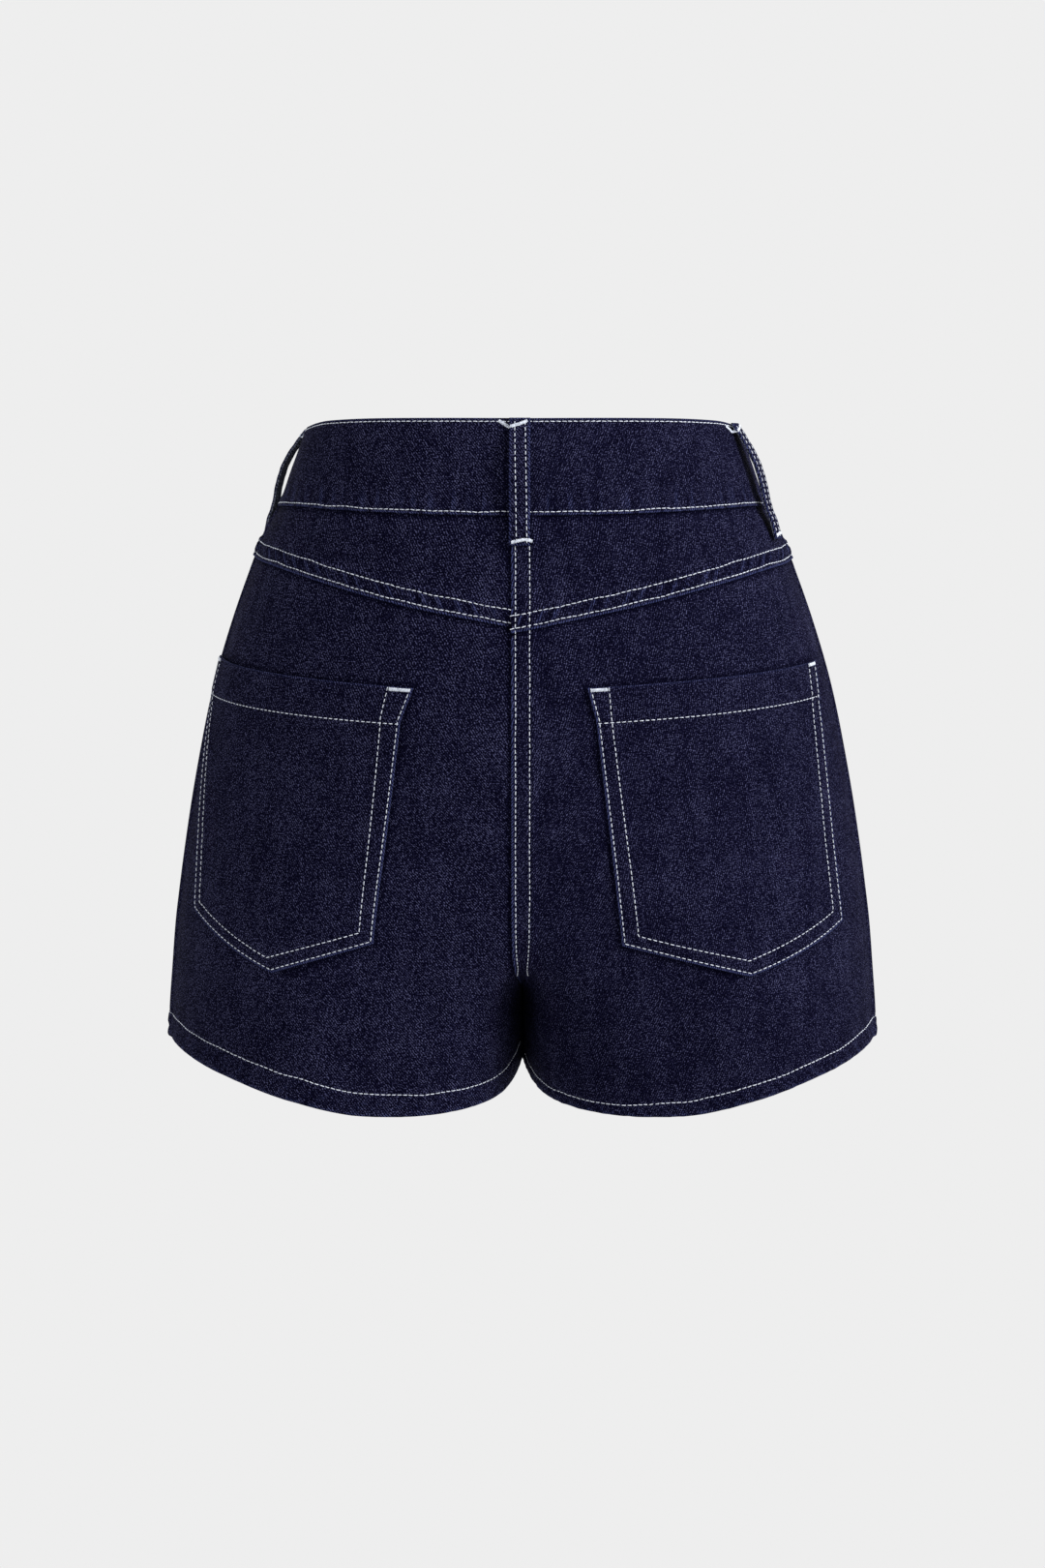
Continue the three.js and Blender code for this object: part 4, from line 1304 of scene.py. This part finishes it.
def frontPaths():
    z = np.arange(*flyLines["centreRun"], -1.0)
    paths = [layPath(bodyTree, *middleSpot(1, s, z)) for s in flyLines["centre"]]
    straight = np.arange(flyLines["top"], flyLines["bend"], -1.0)
    turn = np.linspace(0, quarter, flyLines["bendPoints"])
    for inset in flyLines["insets"]:
        reach = flyLines["reach"] - inset
        s = np.concatenate([reach + 0 * straight, reach * np.cos(turn)])
        z = np.concatenate([straight, flyLines["bend"] - reach * np.sin(turn)])
        paths.append(layPath(bodyTree, *middleSpot(1, s, z)))
    return paths


sew("stitches_centre_back", centrePaths(), sewing, 1)
sew("stitches_yoke", yokePaths(), running, 2)
sew("stitches_hems", hemPaths(), running, 3)
sew("stitches_waistband", bandPaths(), running, 4)
sew("stitches_front", frontPaths(), sewing, 5)
tackPaths = []
for hand in hands:
    paths, tacks = pocketPaths(hand)
    sew("stitches_pocket_" + hand, paths, sewing, 6)
    tackPaths.extend(tacks)
sew("tacks_pockets", tackPaths, tack, 7)
loopLines, loopTacks = [], []
for loop in loops:
    paths, tacks = loopPaths(*loop)
    loopLines.extend(paths)
    loopTacks.extend(tacks)
sew("stitches_loops", loopLines, sewing, 8)
sew("tacks_loops", loopTacks, tack, 9)
print("sewing ready")

# Metal button of the waistband, spun from its profile of (radius, height) in millimetres
button = {
    "height": -6.0, "lift": 0.55, "sides": 64, "crown": 2.6,
    "profile": [
        (3.4, 0.0), (3.4, 0.55), (7.7, 0.62), (8.25, 0.8), (8.5, 1.15), (8.5, 1.5), (8.3, 1.85),
        (7.9, 2.05), (7.45, 2.05), (7.1, 1.85), (6.85, 1.6), (6.6, 1.55), (6.3, 1.68), (5.6, 1.95),
        (4.4, 2.25), (3.0, 2.45), (1.5, 2.56),
    ],
}
brassLook = {
    "cloudScale": 260, "brushScales": (500, 500, 4200), "cloudRough": 0.25, "brushRough": 0.2,
    "leastRough": 0.16,
    "tones": [(0.32, (0.20, 0.14, 0.07)), (0.52, (0.40, 0.31, 0.17)), (0.70, (0.52, 0.42, 0.25))],
    "bump": 0.25, "bumpHeight": 0.00008,
}


def makeBrass():
    finish = Finish("agedBrass")
    places = finish.node("ShaderNodeTexCoord", None, None, 3)
    clouds = finish.noise(places, brassLook["cloudScale"], 3)
    scales = {0: places, 1: brassLook["brushScales"]}
    scaled = finish.node("ShaderNodeVectorMath", {"operation": "MULTIPLY"}, scales)
    brushed = finish.noise(scaled, 1.0, 2)
    colour = finish.ramp(brassLook["tones"], clouds * 0.7 + brushed * 0.3)
    rough = clouds * brassLook["cloudRough"] + brushed * brassLook["brushRough"] + brassLook["leastRough"]
    bump = finish.bump(brassLook["bump"], brassLook["bumpHeight"], clouds * 0.5 + brushed * 0.5)
    values = {"Base Color": colour, "Roughness": rough, "Normal": bump, "Metallic": 1.0}
    return finish.show("ShaderNodeBsdfPrincipled", values)


def makeButton():
    foot = clothPoint(1, quarter, button["height"], button["lift"])
    axis = tubeNormal(1, quarter, button["height"])
    sideways = np.array([1.0, 0.0, 0.0])
    upwards = np.cross(sideways, axis)
    sides = button["sides"]
    turns = np.arange(sides) * 2 * math.pi / sides
    spokes = np.cos(turns)[:, None] * sideways - np.sin(turns)[:, None] * upwards
    rings = [foot + axis * rise + spokes * radius for radius, rise in button["profile"]]
    points = np.concatenate([*rings, [foot], [foot + axis * button["crown"]]]) * mm
    last = len(rings) - 1
    under, crown = len(points) - 2, len(points) - 1
    faces = []
    for k in range(sides):
        after = (k + 1) % sides
        faces.append((under, after, k))
        faces.append((crown, last * sides + k, last * sides + after))
        for low in range(0, last * sides, sides):
            faces.append((low + k, low + after, low + sides + after, low + sides + k))
    mesh = bpy.data.meshes.new("waistband_button")
    mesh.from_pydata(points.tolist(), [], faces)
    mesh.polygons.foreach_set("use_smooth", np.ones(len(faces), bool))
    mesh.materials.append(makeBrass())
    piece = addObject("waistband_button", mesh)
    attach(piece, "root")
    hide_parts("button")


makeButton()
print("button ready")

# Stage
studio = {"tone": (0.855, 0.855, 0.855, 1), "floorHeight": -1.0, "floorRadius": 12, "floorSides": 64}
lights = [
    {"name": "keyLight", "place": (2.2, -1.1, 1.3), "size": 1.1, "power": 92},
    {"name": "fillLight", "place": (-1.2, -2.2, 0.8), "size": 2.0, "power": 4},
]
lightsAim = Vector((0, 0, -0.15))


def makeStage():
    radius, sides = studio["floorRadius"], studio["floorSides"]
    turns = [k * 2 * math.pi / sides for k in range(sides)]
    around = [(radius * math.cos(turn), radius * math.sin(turn), studio["floorHeight"]) for turn in turns]
    mesh = bpy.data.meshes.new("floor")
    mesh.from_pydata(around, [], [list(range(sides))])
    shown = {"Color": studio["tone"], "Strength": 1.0}
    mesh.materials.append(Finish("paleFloor").show("ShaderNodeEmission", shown))
    addObject("floor", mesh)
    world = bpy.data.worlds.new("studio")
    world.use_nodes = True
    background = world.node_tree.nodes["Background"]
    background.inputs["Color"].default_value = studio["tone"]
    background.inputs["Strength"].default_value = 1.0
    bpy.context.scene.world = world


makeStage()
for light in lights:
    data = bpy.data.lights.new(light["name"], "AREA")
    data.size = light["size"]
    data.energy = light["power"]
    lamp = addObject(light["name"], data)
    lamp.location = light["place"]
    lamp.rotation_euler = (lightsAim - Vector(light["place"])).to_track_quat("-Z", "Y").to_euler()
bpy.context.scene.view_settings.view_transform = "Standard"
print("stage ready")
